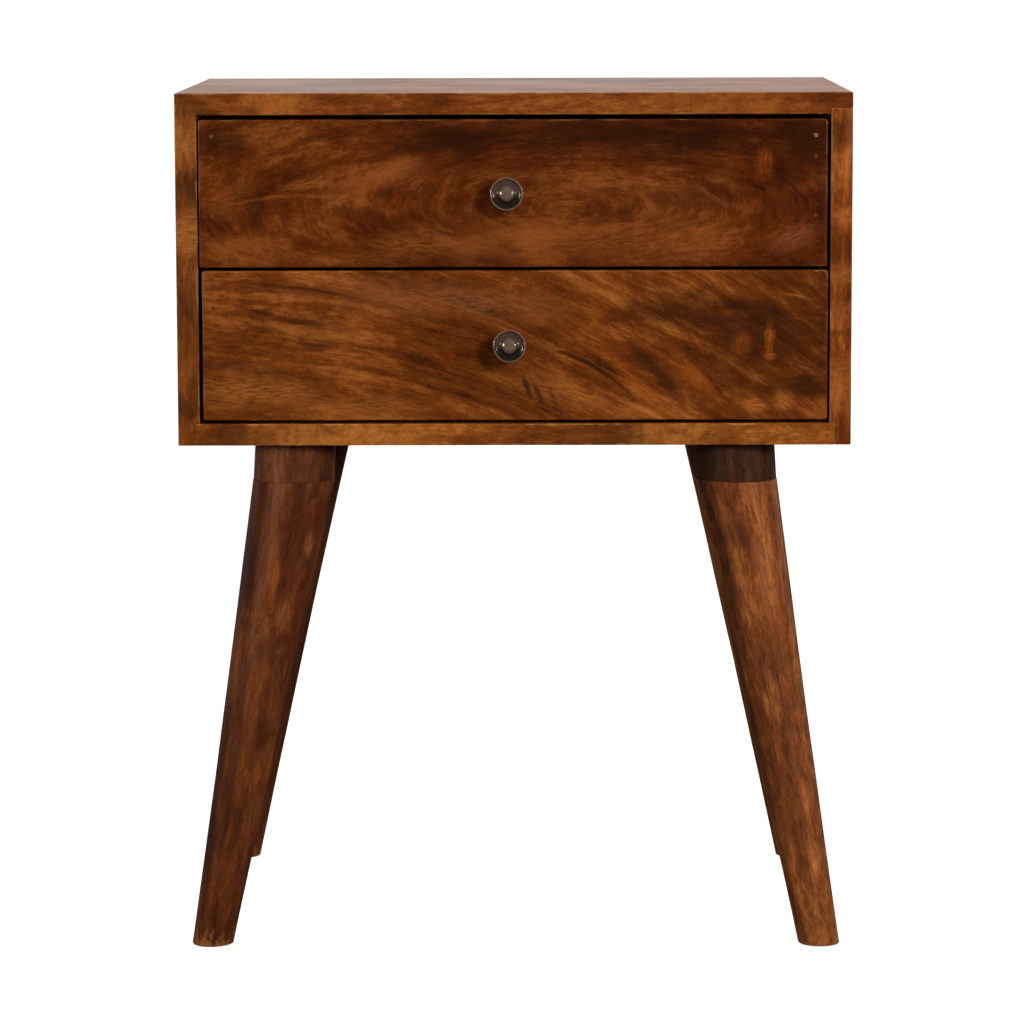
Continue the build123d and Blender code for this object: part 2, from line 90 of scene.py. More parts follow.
class BedsideLegs(bpy.types.PropertyGroup):
    """Sizes of the turned legs and of the blocks on top of them."""
    top_radius: length("Top radius", "Leg's radius where it meets its block", 27.6 * MM)
    foot_radius: length("Foot radius", "Leg's radius on the floor", 13.8 * MM)
    block_radius: length("Block radius", "Radius of the short block on a leg", 27.5 * MM)
    hollow: length("Hollow", "How far a leg's outline dips in halfway up", 0.5 * MM)
    inset_x: length("Inset X", "Leg's centre at the joint, in from the case's side", 75 * MM)
    inset_y: length("Inset Y", "Leg's centre at the joint, in from the case's front or back", 40 * MM)
    block_lean: angle("Block lean", "How far a block leans outwards", 3.8)
    foot_wear: length("Foot wear", "Rounding rubbed onto the foot's edge", 0.9 * MM)
    joint_edge: length("Joint edge", "Softened edge at the joint of leg and block", 0.45 * MM)
    unevenness: length("Unevenness", "How far hand sanding leaves a leg from truly round", 0.22 * MM)


class BedsideFronts(bpy.types.PropertyGroup):
    """Sizes of the drawer fronts' finish."""
    edge: length("Edge", "Radius sanded onto the arrises", 1.25 * MM)
    corner: length("Corner", "Extra rounding of the four front corners", 0.45 * MM)
    wave: length("Wave", "How far sanding leaves the face and edges from true", 0.16 * MM)
    sink: length("Sink", "Face of the board behind its nail heads", 0.06 * MM)


class BedsideKnobs(bpy.types.PropertyGroup):
    """Sizes of the cast knobs, beyond the radius and reach that the frame gives."""
    foot_radius: length("Foot radius", "Radius against the drawer front", 7.5 * MM)
    neck_radius: length("Neck radius", "Radius at the waist", 4.8 * MM)
    waist: length("Waist", "Height of the waist above the drawer front", 7.0 * MM)
    rim: length("Rim", "Width of the rolled rim", 1.25 * MM)
    rim_drop: length("Rim drop", "Rim's crest behind the button's tip", 0.7 * MM)
    button_radius: length("Button radius", "Radius of the domed button", 5.6 * MM)
    button_wall: length("Button wall", "Height of the button's side, under its dome", 0.9 * MM)
    dome: length("Dome", "How far the button's dome falls before its edge rolls over", 1.55 * MM)
    dish: length("Dish", "Depth of the dish at the button's foot, behind the tip", 3.1 * MM)


class BedsideFinish(bpy.types.PropertyGroup):
    """Colours of the stain, the bare wood and the metals."""
    dark: colour("Dark stain", "Darkest wood", (0.075, 0.0160, 0.0040))
    brown: colour("Brown stain", "Middle of the stained wood", (0.232, 0.0545, 0.0092))
    gold: colour("Golden wood", "Lightest stained wood", (0.560, 0.180, 0.0420))
    orange: colour("Orange glow", "Warm patches in the figure", (0.480, 0.115, 0.0140))
    # Rosy shade: partly reddish stain, partly a painted sheen of light on the lacquer.
    rosy: colour("Rosy haze", "Reddish patches that catch the light", (0.400, 0.130, 0.0560))
    umber: colour("Umber", "Dark clouds in the stain", (0.050, 0.0130, 0.0050))
    rubbed: colour("Rubbed edge", "Stain worn thin on the arrises", (0.55, 0.270, 0.085))
    leg_dark: colour("Leg dark", "Darkest wood of the legs", (0.045, 0.0150, 0.0085))
    leg_brown: colour("Leg brown", "Middle of the legs' stain", (0.170, 0.0450, 0.0155))
    leg_tan: colour("Leg tan", "Tan streaks in the legs", (0.560, 0.190, 0.0560))
    bare: colour("Bare wood", "Unstained inner boards", (0.46, 0.27, 0.135))
    bare_dark: colour("Bare dark", "Dark grain of the inner boards", (0.27, 0.135, 0.060))
    ply: colour("Plywood", "Face veneer of the thin boards", (0.50, 0.32, 0.17))
    brass: colour("Old brass", "Rubbed brass of the knobs", (0.50, 0.315, 0.205))
    tarnish: colour("Tarnish", "Darkened brass in the dish", (0.140, 0.094, 0.072))
    steel: colour("Steel", "Plated screws, bolts and nails", (0.55, 0.55, 0.53))
    filler: colour("Filler", "Filler over the nail heads", (0.55, 0.40, 0.24))
    scuffed: colour("Scuffed wood", "Wood rubbed bare at the feet's edges", (0.46, 0.165, 0.040))
    insert: colour("Insert brass", "Machined brass of the threaded inserts", (0.62, 0.45, 0.20))


class BedsideStage(bpy.types.PropertyGroup):
    """Camera, lights and floor."""
    camera_distance: length("Camera distance", "Camera in front of the case", 2.858725)
    camera_height: length("Camera height", "Camera above the floor", 0.680655)
    camera_side: length("Camera side", "Camera to the right of the middle", 0.018957)
    camera_pitch: angle("Camera pitch", "How far the camera looks down", 7.64450)
    camera_turn: angle("Camera turn", "How far the camera looks to the right", -0.41394)
    camera_roll: angle("Camera roll", "How far the camera leans", -0.15348)
    camera_lens: number("Lens", "Focal length in millimetres", 151.2110)
    key_power: power("Key power", "Softbox on the right", 22.0)
    fill_power: power("Fill power", "Small light on the left", 6.0)
    glint_power: power("Glint power", "Small light on the right", 4.0)
    top_power: power("Top power", "Overhead strip", 5.0)
    surround: number("Surround", "Brightness of the white wall behind", 0.95)
    room: number("Room", "Brightness of the room in front and beside", 0.05)


# ---------------------------------------------------------------- surfaces worked out with numpy

def corners(node):
    """A CAD node's lowest and highest corners, as arrays."""
    return [np.array(corner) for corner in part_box(node)]


def grid_faces(rows, columns, wrap=True):
    """Quads of a grid whose points are numbered row by row; with wrap the last column meets the first."""
    spans = columns if wrap else columns - 1
    row, column = np.meshgrid(np.arange(rows - 1), np.arange(spans), indexing="ij")
    after = (column + 1) % columns
    low, high = row * columns, (row + 1) * columns
    return np.stack([low + column, low + after, high + after, high + column], -1).reshape(-1, 4)


def make_piece(name, points, quads, fans=(), grain=None, closed=True):
    """A mesh object from points, quads and triangle fans, with the wood's own coordinates as `grain`.
    A closed piece is shaded smooth and all its faces are turned to look outwards."""
    mesh = bpy.data.meshes.new(name)
    mesh.from_pydata(points.tolist(), [], quads.tolist() + [list(face) for face in fans])
    mesh.update()
    if grain is not None:
        layer = mesh.attributes.new("grain", "FLOAT_VECTOR", "POINT")
        layer.data.foreach_set("vector", np.ascontiguousarray(grain, dtype=np.float32).ravel())
    mesh.polygons.foreach_set("use_smooth", [closed] * len(mesh.polygons))
    piece = bpy.data.objects.new(name, mesh)
    bpy.context.scene.collection.objects.link(piece)
    if closed:
        work = bmesh.new()
        work.from_mesh(mesh)
        bmesh.ops.recalc_face_normals(work, faces=work.faces)
        work.to_mesh(mesh)
        work.free()
    return piece


def ringed_skin(rings, first_pole, last_pole):
    """Points, quads and triangles of a closed skin: rings of points in order, with a fan from a pole
    to each end ring."""
    count, around = rings.shape[:2]
    step = np.arange(around)
    after, last = (step + 1) % around, (count - 1) * around
    fans = np.concatenate([
        np.stack([np.full(around, count * around), after, step], -1),
        np.stack([np.full(around, count * around + 1), last + step, last + after], -1)])
    points = np.concatenate([rings.reshape(-1, 3), [first_pole], [last_pole]])
    return points, grid_faces(count, around), fans


def gentle_noise(*phases, seed):
    """A smooth uneven value between about -1 and 1: a sum of four sines of the given phases, each
    weaker than the last, over the sum of their weights."""
    random = np.random.default_rng(seed)
    total = 0.0
    for step in range(1, 5):
        turn = sum(phase * random.uniform(0.6, 1.5) * step for phase in phases)
        total = total + np.sin(turn + random.uniform(0, 2 * math.pi)) / step
    return total / 2.1


def leg_origin(seed):
    """Where a turned piece's own coordinates start, so that no two pieces share their figure."""
    return seed * 0.71, seed * 0.13, seed * 0.29


# Rows of points close to a level cut, in widths of its softened edge, and the rings that close a cut,
# as shares of its outline.
EDGE_ROWS = np.array([0, 0.06, 0.14, 0.25, 0.4, 0.6, 0.8, 1.0])
END_RINGS = np.array([0.85, 0.55, 0.2])


def turned_surface(name, low_centre, high_centre, low_radius, high_radius, floor_edge, top_edge,
                   unevenness, seed, hollow=0.0, rows=110, around=96):
    """A turned taper on a sloping line, cut level at both ends.

    With the angle u round the line and w from 0 at the lower cut to 1 at the upper one, a point is
    the line's place at v plus the radius at v times the unit circle square to the line. v runs
    between the values at which that point meets each level cut. The hollow takes half a sine wave
    off the radius, and the unevenness only ever takes wood away. Near a cut the radius is drawn in
    along a quarter circle, which softens the edge, and each end is closed by rings drawn in to its
    centre.
    """
    low, high = np.array(low_centre, float), np.array(high_centre, float)
    along = (high - low) / np.linalg.norm(high - low)
    first = np.cross(along, (0.0, 1.0, 0.0))
    first /= np.linalg.norm(first)
    second = np.cross(along, first)
    u = np.linspace(0, 2 * math.pi, around, endpoint=False)
    rise, growth = high[2] - low[2], high_radius - low_radius
    circle = np.cos(u)[:, None] * first + np.sin(u)[:, None] * second
    tilt = circle[:, 2]
    v_low = -low_radius * tilt / (rise + growth * tilt)
    v_high = (rise - low_radius * tilt) / (rise + growth * tilt)
    w = np.concatenate([EDGE_ROWS * floor_edge / rise, np.linspace(0, 1, rows)[1:-1],
                        1 - EDGE_ROWS[::-1] * top_edge / rise])
    w = np.unique(np.clip(w, 0, 1))[:, None]
    v = v_low + w * (v_high - v_low)
    swell = np.sin(w * math.pi)
    sanded = np.clip(gentle_noise(u[None, :] * 1.0, w * 7.0, seed=seed) - 1, -2, 0)
    radius = low_radius + growth * v - hollow * swell + unevenness * sanded * swell ** 0.35
    ragged = 1 + 0.35 * np.sin(u * 3 + seed) * (floor_edge > top_edge)
    for edge, gap in ((floor_edge * ragged[None, :], w * rise), (top_edge, (1 - w) * rise)):
        near = np.clip(1 - gap / edge, 0, 1)
        radius = radius - edge * (1 - np.sqrt(1 - near ** 2))
    shell = low + v[..., None] * (high - low) + radius[..., None] * circle[None]
    shell[0, :, 2], shell[-1, :, 2] = low[2], high[2]
    shell[..., 2] = np.clip(shell[..., 2], low[2], high[2])
    middles = shell[0].mean(axis=0), shell[-1].mean(axis=0)
    bottom, top = (middle + (ring - middle)[None] * END_RINGS[:, None, None]
                   for middle, ring in zip(middles, (shell[0], shell[-1])))
    points, quads, fans = ringed_skin(np.concatenate([bottom[::-1], shell, top]), *middles)
    offset = points - low
    grain = np.stack([offset @ along, offset @ first, offset @ second], -1) + np.array(leg_origin(seed))
    return make_piece(name, points, quads, fans, grain)


def soft_board(name, low, high, edge, corner, wave, seed, cells, turned_rows=5):
    """A board with rounded arrises, from six square grids that share their edges.

    Each grid runs flat over the board's face and turns 45 degrees at its rim: a point is the nearest
    point of the inner box, which is smaller by the edge radius all round, plus the radius times the
    direction given by the tangents of the two turning angles. The front corners are drawn in by a
    little more, and a slow sum of sines moves the skin by less than the wave height.
    """
    centre, half = (low + high) / 2, (high - low) / 2
    inner = half - edge
    turns = np.linspace(math.pi / 4, 0, turned_rows + 1)[:-1]
    parts, faces, start = [], [], 0
    for axis in range(3):
        one, two = [a for a in range(3) if a != axis]
        for side in (-1, 1):
            lines = []
            for flat_axis in (one, two):
                flat = np.linspace(-1, 1, cells[flat_axis] + 1)
                place = np.concatenate([np.full(turned_rows, -1.0), flat, np.full(turned_rows, 1.0)])
                bend = np.concatenate([-turns, np.zeros(len(flat)), turns[::-1]])
                lines.append((place * inner[flat_axis], np.tan(bend)))
            (p, tp), (q, tq) = lines
            point = np.zeros((len(p), len(q), 3))
            way = np.zeros_like(point)
            point[..., one], point[..., two], point[..., axis] = p[:, None], q[None, :], side * inner[axis]
            way[..., one], way[..., two], way[..., axis] = tp[:, None], tq[None, :], side
            way /= np.linalg.norm(way, axis=-1, keepdims=True)
            parts.append((point + edge * way).reshape(-1, 3))
            faces.append(grid_faces(len(p), len(q), wrap=False) + start)
            start += parts[-1].shape[0]
    points, quads = np.concatenate(parts), np.concatenate(faces)
    _, first, same = np.unique(np.round(points * 1e7).astype(np.int64), axis=0,
                               return_index=True, return_inverse=True)
    points, quads = points[first], same.reshape(-1)[quads]
    reach = 4 * corner
    close = np.clip((np.abs(points[:, ::2]) - half[::2] + reach) / reach, 0, 1)
    draw = corner * (close[:, 0] * close[:, 1]) ** 1.5
    points[:, ::2] -= np.sign(points[:, ::2]) * draw[:, None]
    slow = points / half
    inside = -np.abs(gentle_noise(slow[:, 0] * 9, slow[:, 2] * 2.5, seed=seed))
    across = np.abs(gentle_noise(slow[:, 0] * 4, slow[:, 2] * 3, seed=seed + 1))
    points[:, 1] -= np.sign(points[:, 1]) * 0.5 * wave * across
    points[:, 2] += np.sign(points[:, 2]) * wave * inside * (np.abs(slow[:, 2]) > 0.8)
    return make_piece(name, points + centre, quads, grain=points + np.array([seed * 0.37, 0, seed * 0.11]))


def arc(centre, radius, start, stop, count):
    """Points on a circle in the profile plane, by angle in degrees."""
    turn = np.radians(np.linspace(start, stop, count))
    return np.stack([centre[0] + radius * np.cos(turn), centre[1] + radius * np.sin(turn)], -1)


def between(start, stop, bulge, count):
    """A shallow curve between two profile points, standing off the chord by the bulge at its middle."""
    start, stop = np.array(start, float), np.array(stop, float)
    t = np.linspace(0, 1, count)[:, None]
    chord = stop - start
    normal = np.array([-chord[1], chord[0]]) / np.linalg.norm(chord)
    return start + chord * t + normal * bulge * 4 * t * (1 - t)


def knob_profile(sizes, radius, reach):
    """Half section of a knob as (radius, reach) rows, from the middle of its foot to the button's tip.

    A foot with a rounded edge, a waisted neck, a cup that swells to the rolled rim, a dish that is a
    quarter of an ellipse, and a button. The button's dome falls with the 2.2nd power of the radius,
    and its edge rolls over with the 10th.
    """
    rim = sizes.rim / 2
    crest = reach - sizes.rim_drop
    foot_edge = 0.8 * MM
    foot_flat = sizes.foot_radius - foot_edge
    floor = reach - sizes.dish
    wall = floor + sizes.button_wall
    share = 1 - np.linspace(0, 1, 28) ** 1.6
    fall = sizes.dome * share ** 2.2 + (reach - wall - sizes.dome) * share ** 10
    dome = np.stack([sizes.button_radius * share, reach - fall], -1)
    turn = np.radians(np.linspace(8, 86, 22))
    inner, outer = sizes.button_radius + 0.35 * MM, radius - 2 * rim
    bowl_top = crest - 1.2 * rim
    bowl = np.stack([inner + (outer - inner) * np.cos(turn),
                     bowl_top - (bowl_top - floor) * np.sin(turn)], -1)
    waist = sizes.neck_radius, sizes.waist
    return np.concatenate([
        [[0.0, 0.0], [foot_flat, 0.0]],
        arc((foot_flat, foot_edge), foot_edge, -90, 90, 9),
        between((foot_flat, 2 * foot_edge), waist, 0.7 * MM, 14),
        between(waist, (radius, crest - 2.4 * MM), -1.5 * MM, 22)[1:],
        arc((radius - rim, crest - rim), rim, 0, 190, 18),
        bowl,
        dome,
    ])


def revolved(name, profile, centre, around=96):
    """A profile carried round the line through a centre that points out of the drawers, along -Y."""
    u = np.linspace(0, 2 * math.pi, around, endpoint=False)
    turned = np.stack([np.cos(u), np.zeros(around), np.sin(u)], -1)
    places = centre - profile[:, 1:] * (0, 1, 0)
    rings = places[1:-1, None] + profile[1:-1, 0, None, None] * turned
    return make_piece(name, *ringed_skin(rings, places[0], places[-1]))


def stands_for(piece, node, body):
    """Rides a new piece on its body in place of a CAD node, and stops if it doesn't fit that node."""
    slack = 1.5 * MM
    points = np.array([v.co for v in piece.data.vertices])
    low, high = corners(node)
    error = max(np.abs(points.min(0) - low).max(), np.abs(points.max(0) - high).max())
    if error > slack:
        raise RuntimeError(f"{piece.name} is {error / MM:.2f} mm off {node}")
    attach(piece, body)
    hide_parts(node)


# ---------------------------------------------------------------- shader nodes

VALUE, VECTOR = "NodeSocketFloat", "NodeSocketVector"
ORIGIN = (0.0, 0.0, 0.0)
WHITE = (1.0, 1.0, 1.0)


class Web:
    """A node tree with short ways to add nodes and join them. A value is a socket or a constant."""

    def __init__(self, tree):
        self.tree = tree

    def feed(self, node, inputs):
        """Joins or sets a node's inputs, by name or number."""
        for key, value in inputs.items():
            if isinstance(value, bpy.types.NodeSocket):
                self.tree.links.new(value, node.inputs[key])
            else:
                node.inputs[key].default_value = value
        return node

    def add(self, kind, inputs=(), **settings):
        node = self.tree.nodes.new(kind)
        for key, value in settings.items():
            setattr(node, key, value)
        return self.feed(node, dict(inputs))

    def math(self, operation, *values, clamp=False):
        return self.add("ShaderNodeMath", enumerate(values), operation=operation, use_clamp=clamp).outputs[0]

    def times(self, *values):
        return self.math("MULTIPLY", *values)

    def times_plus(self, *values):
        return self.math("MULTIPLY_ADD", *values)

    def plus(self, *values):
        return self.math("ADD", *values)

    def minus(self, *values, clamp=False):
        return self.math("SUBTRACT", *values, clamp=clamp)

    def vector(self, operation, *values):
        node = self.add("ShaderNodeVectorMath", enumerate(values), operation=operation)
        return node.outputs["Value" if operation == "LENGTH" else "Vector"]

    def parts(self, vector):
        return self.add("ShaderNodeSeparateXYZ", {0: vector}).outputs

    def joined(self, *values):
        return self.add("ShaderNodeCombineXYZ", enumerate(values)).outputs[0]

    def moved(self, place, offset):
        return self.add("ShaderNodeMapping", {"Vector": place, "Location": tuple(offset)}).outputs[0]

    def noise(self, place, scale, detail=3.0, roughness=0.5, output="Fac"):
        stretched = self.vector("MULTIPLY", place, scale)
        return self.add("ShaderNodeTexNoise", {"Vector": stretched, "Scale": 1.0, "Detail": detail,
                                               "Roughness": roughness}).outputs[output]

    def line_noise(self, place, detail, roughness=0.5):
        return self.add("ShaderNodeTexNoise", {"W": place, "Scale": 1.0, "Detail": detail,
                                               "Roughness": roughness}, noise_dimensions="1D").outputs["Fac"]

    def spread(self, value, low, high, to_low=0.0, to_high=1.0):
        """Stretches the range from low to high over another one, with soft ends."""
        node = self.add("ShaderNodeMapRange", {"Value": value, "From Min": low, "From Max": high,
                                               "To Min": to_low, "To Max": to_high},
                        interpolation_type="SMOOTHSTEP")
        return node.outputs["Result"]

    def mix(self, share, first, second):
        shades = [shade if isinstance(shade, bpy.types.NodeSocket) else (*shade, 1.0)
                  for shade in (first, second)]
        return self.add("ShaderNodeMix", {0: share, 6: shades[0], 7: shades[1]}, data_type="RGBA",
                        blend_type="MIX", clamp_factor=True).outputs[2]

    def ramp(self, value, stops):
        node = self.add("ShaderNodeValToRGB", {"Fac": value})
        ramp = node.color_ramp
        while len(ramp.elements) < len(stops):
            ramp.elements.new(0.5)
        for element, (place, shade) in zip(ramp.elements, stops):
            element.position, element.color = place, (*shade, 1.0)
        return node.outputs["Color"]

    def bump(self, height, strength, depth):
        return self.add("ShaderNodeBump", {"Height": height, "Strength": strength,
                                           "Distance": depth}).outputs["Normal"]


def group(name, inputs, outputs, fill):
    """Builds a named node group once. inputs gives each input's default, outputs each output's kind,
    and fill(web, input sockets) returns the outputs in order."""
    if name in bpy.data.node_groups:
        return bpy.data.node_groups[name]
    tree = bpy.data.node_groups.new(name, "ShaderNodeTree")
    for key, default in inputs.items():
        kind = VECTOR if isinstance(default, tuple) else VALUE
        tree.interface.new_socket(key, in_out="INPUT", socket_type=kind).default_value = default
    for key, kind in outputs.items():
        tree.interface.new_socket(key, in_out="OUTPUT", socket_type=kind)
    web = Web(tree)
    entry, leave = web.add("NodeGroupInput"), web.add("NodeGroupOutput")
    web.feed(leave, dict(zip(outputs, fill(web, entry.outputs))))
    return tree


def place_group(web, tree, **values):
    """Puts a node group into a material and returns its outputs by name."""
    named = {key.replace("_", " ").capitalize(): value for key, value in values.items()}
    return web.feed(web.add("ShaderNodeGroup", node_tree=tree), named).outputs


def figure_group():
    """The wood's figure from its own coordinates, X along the grain.

    Growth bands are a one-way noise of the distance from the heart, with the grain direction
    shortened, after a slow noise has warped the coordinates. Streaks, fibre and pores are noises
    drawn out along the grain.
    """
    def fill(web, given):
        slow = web.noise(given["Grain"], (5.0, 13.0, 13.0), 2.0, 0.5, "Color")
        push = web.vector("MULTIPLY", web.vector("SUBTRACT", slow, (0.5, 0.5, 0.5)), given["Warp"])
        place = web.vector("ADD", given["Grain"], push)
        away = web.vector("MULTIPLY", web.vector("SUBTRACT", place, given["Heart"]), given["Squash"])
        bands = web.line_noise(web.times(web.vector("LENGTH", away), given["Density"]), 3.0, 0.62)
        streaks = web.noise(place, (7.0, 110.0, 110.0), 5.0, 0.62)
        fibre = web.noise(place, (110.0, 620.0, 620.0), 4.0, 0.70)
        pores = web.noise(place, (160.0, 1700.0, 1700.0), 1.0, 0.5)
        return (web.spread(bands, 0.30, 0.70), web.spread(streaks, 0.28, 0.72), fibre,
                web.spread(pores, 0.63, 0.73))
    return group("timber figure", {"Grain": ORIGIN, "Heart": ORIGIN, "Squash": (0.2, 1.0, 1.0),
                                   "Density": 60.0, "Warp": (0.05, 0.02, 0.02)},
                 {"Bands": VALUE, "Streaks": VALUE, "Fibre": VALUE, "Pores": VALUE}, fill)


def flow_group():
    """Bends the wood's coordinates so that the grain follows the board's figure. Grain that leans by
    Slope is bowed along a parabola by Bow; grain that runs round a Ring heart takes its distance from
    there in ovals, squashed along the board. Rings mixes the two: 0 is bowed grain, 1 is ovals."""
    def fill(web, given):
        along, across, deep = web.parts(given["Grain"])
        leaning = web.times_plus(along, given["Slope"], across)
        bowed = web.joined(along, web.plus(leaning, web.times(web.times(along, along), given["Bow"])), deep)
        from_heart = web.vector("SUBTRACT", given["Grain"], given["Ring heart"])
        away = web.vector("LENGTH", web.vector("MULTIPLY", from_heart, given["Ring squash"]))
        ovals = web.joined(along, away, web.times_plus(across, 0.25, deep))
        rings = web.vector("MULTIPLY", web.vector("SUBTRACT", ovals, bowed), given["Rings"])
        return (web.vector("ADD", bowed, rings),)
    return group("grain flow", {"Grain": ORIGIN, "Slope": 0.0, "Bow": 0.0, "Ring heart": ORIGIN,
                                "Ring squash": (0.3, 1.0, 0.0), "Rings": ORIGIN}, {"Place": VECTOR}, fill)


def patch_group():
    """A soft oval patch: 1 at its centre and 0 at its reach, turned in the plane of the board's face,
    bowed along a parabola and made ragged by a noise. It also gives the patch's own coordinates."""
    def fill(web, given):
        from_centre = web.vector("SUBTRACT", given["Grain"], given["Centre"])
        turned = web.add("ShaderNodeVectorRotate", {"Vector": from_centre, "Angle": given["Turn"]},
                         rotation_type="Z_AXIS").outputs["Vector"]
        along, across, deep = web.parts(turned)
        bow = web.times(web.times(along, along), given["Bend"])
        bowed = web.joined(along, web.plus(across, bow), deep)
        edge = web.times(web.minus(given["Rough"], 0.5), given["Ragged"])
        distance = web.vector("LENGTH", web.vector("DIVIDE", bowed, given["Reach"]))
        return web.spread(web.plus(distance, edge), 1.0, 0.1), bowed
    return group("soft patch", {"Grain": ORIGIN, "Rough": 0.5, "Centre": ORIGIN,
                                "Reach": (0.05, 0.02, 1.0), "Turn": 0.0, "Bend": 0.0, "Ragged": 0.8},
                 {"Mask": VALUE, "Own place": VECTOR}, fill)


def arris_group():
    """Wear on a board's arrises: the middle one of a point's three depths under the board's faces is
    small only near an edge, and a noise breaks the worn line up."""
    def fill(web, given):
        away = web.vector("ABSOLUTE", web.vector("SUBTRACT", given["Place"], given["Centre"]))
        x, y, z = web.parts(web.vector("SUBTRACT", given["Half"], away))
        least = web.math("MINIMUM", web.math("MINIMUM", x, y), z)
        most = web.math("MAXIMUM", web.math("MAXIMUM", x, y), z)
        middle = web.minus(web.minus(web.plus(web.plus(x, y), z), least), most)
        broken = web.noise(given["Place"], (55.0, 55.0, 55.0), 4.0, 0.65)
        width = web.times(given["Width"], web.spread(broken, 0.42, 0.68, 0.15, 1.6))
        near = web.minus(1.0, web.math("DIVIDE", middle, width), clamp=True)
        return (web.times(near, web.spread(broken, 0.40, 0.62)),)
    return group("worn arris", {"Place": ORIGIN, "Centre": ORIGIN, "Half": WHITE, "Width": 0.001},
                 {"Mask": VALUE}, fill)


def lacquer_group():
    """How the lacquer lies: a roughness that changes slowly with rubbing and quickly with fine dust."""
    def fill(web, given):
        rubbed = web.noise(given["Place"], (9.0, 9.0, 9.0), 3.0, 0.55)
        dust = web.noise(given["Place"], (900.0, 900.0, 900.0), 1.0, 0.5)
        slow = web.spread(rubbed, 0.35, 0.65, -0.03, 0.05)
        fine = web.spread(dust, 0.60, 0.75, 0.0, 0.06)
        return (web.plus(given["Roughness"], web.plus(slow, fine)),)
    return group("lacquer", {"Place": ORIGIN, "Roughness": 0.35}, {"Roughness": VALUE}, fill)


# ---------------------------------------------------------------- stain

def new_material(name):
    """An empty node material with its Principled BSDF, as (material, web, shader)."""
    material = bpy.data.materials.new(name)
    material.use_nodes = True
    return material, Web(material.node_tree), material.node_tree.nodes["Principled BSDF"]


def tinted(shade, tint):
    return tuple(part * share for part, share in zip(shade, tint))


def dimmed(shade, share):
    return tuple(part * share for part in shade)


def object_place(web):
    return web.add("ShaderNodeTexCoord").outputs["Object"]


def along_grain(web, place, order):
    """Object coordinates put in another order, so that the first one runs along the grain."""
    parts = web.parts(place)
    return web.joined(*(parts["XYZ".index(axis)] for axis in order))


def finish_wood(web, shader, shade, figure, roughness, coat, specular=0.30):
    """Joins colour, lacquer and the relief of the grain to the shader. In the relief, fibres stand up
    a little and pores are open."""
    raised = web.times_plus(figure["Fibre"], 0.5, web.times(figure["Streaks"], 0.35))
    height = web.minus(raised, web.times(figure["Pores"], 0.7))
    gloss = place_group(web, lacquer_group(), place=object_place(web), roughness=roughness)
    web.feed(shader, {"Base Color": shade, "Roughness": gloss["Roughness"],
                      "Normal": web.bump(height, 0.35, 0.25 * MM), "Coat Weight": coat,
                      "Coat Roughness": 0.16, "IOR": 1.45, "Specular IOR Level": specular})


def stained(web, figure, grain, flow, colours, cloud_size=(14.0, 24.0, 24.0), cloudy=0.34):
    """Stained wood: clouds of stain, growth bands, streaks, mottle and fibre together choose between
    dark, brown and gold. Clouds lie where they like; the mottle follows the grain's flow."""
    dark, brown, gold = colours
    clouds = web.spread(web.noise(grain, cloud_size, 4.0, 0.58), 0.27, 0.73)
    mottle = web.spread(web.noise(flow, (75.0, 170.0, 170.0), 5.0, 0.85), 0.34, 0.66)
    fine = web.spread(figure["Fibre"], 0.32, 0.68)
    tone = web.times(clouds, cloudy)
    for layer, share in ((figure["Bands"], 0.27), (figure["Streaks"], 0.22), (mottle, 0.29), (fine, 0.22)):
        tone = web.times_plus(layer, share * (1.0 - cloudy), tone)
    shade = web.ramp(tone, [(0.18, dark), (0.50, brown), (0.84, gold)])
    return web.mix(web.times(figure["Pores"], 0.35), shade, dark)


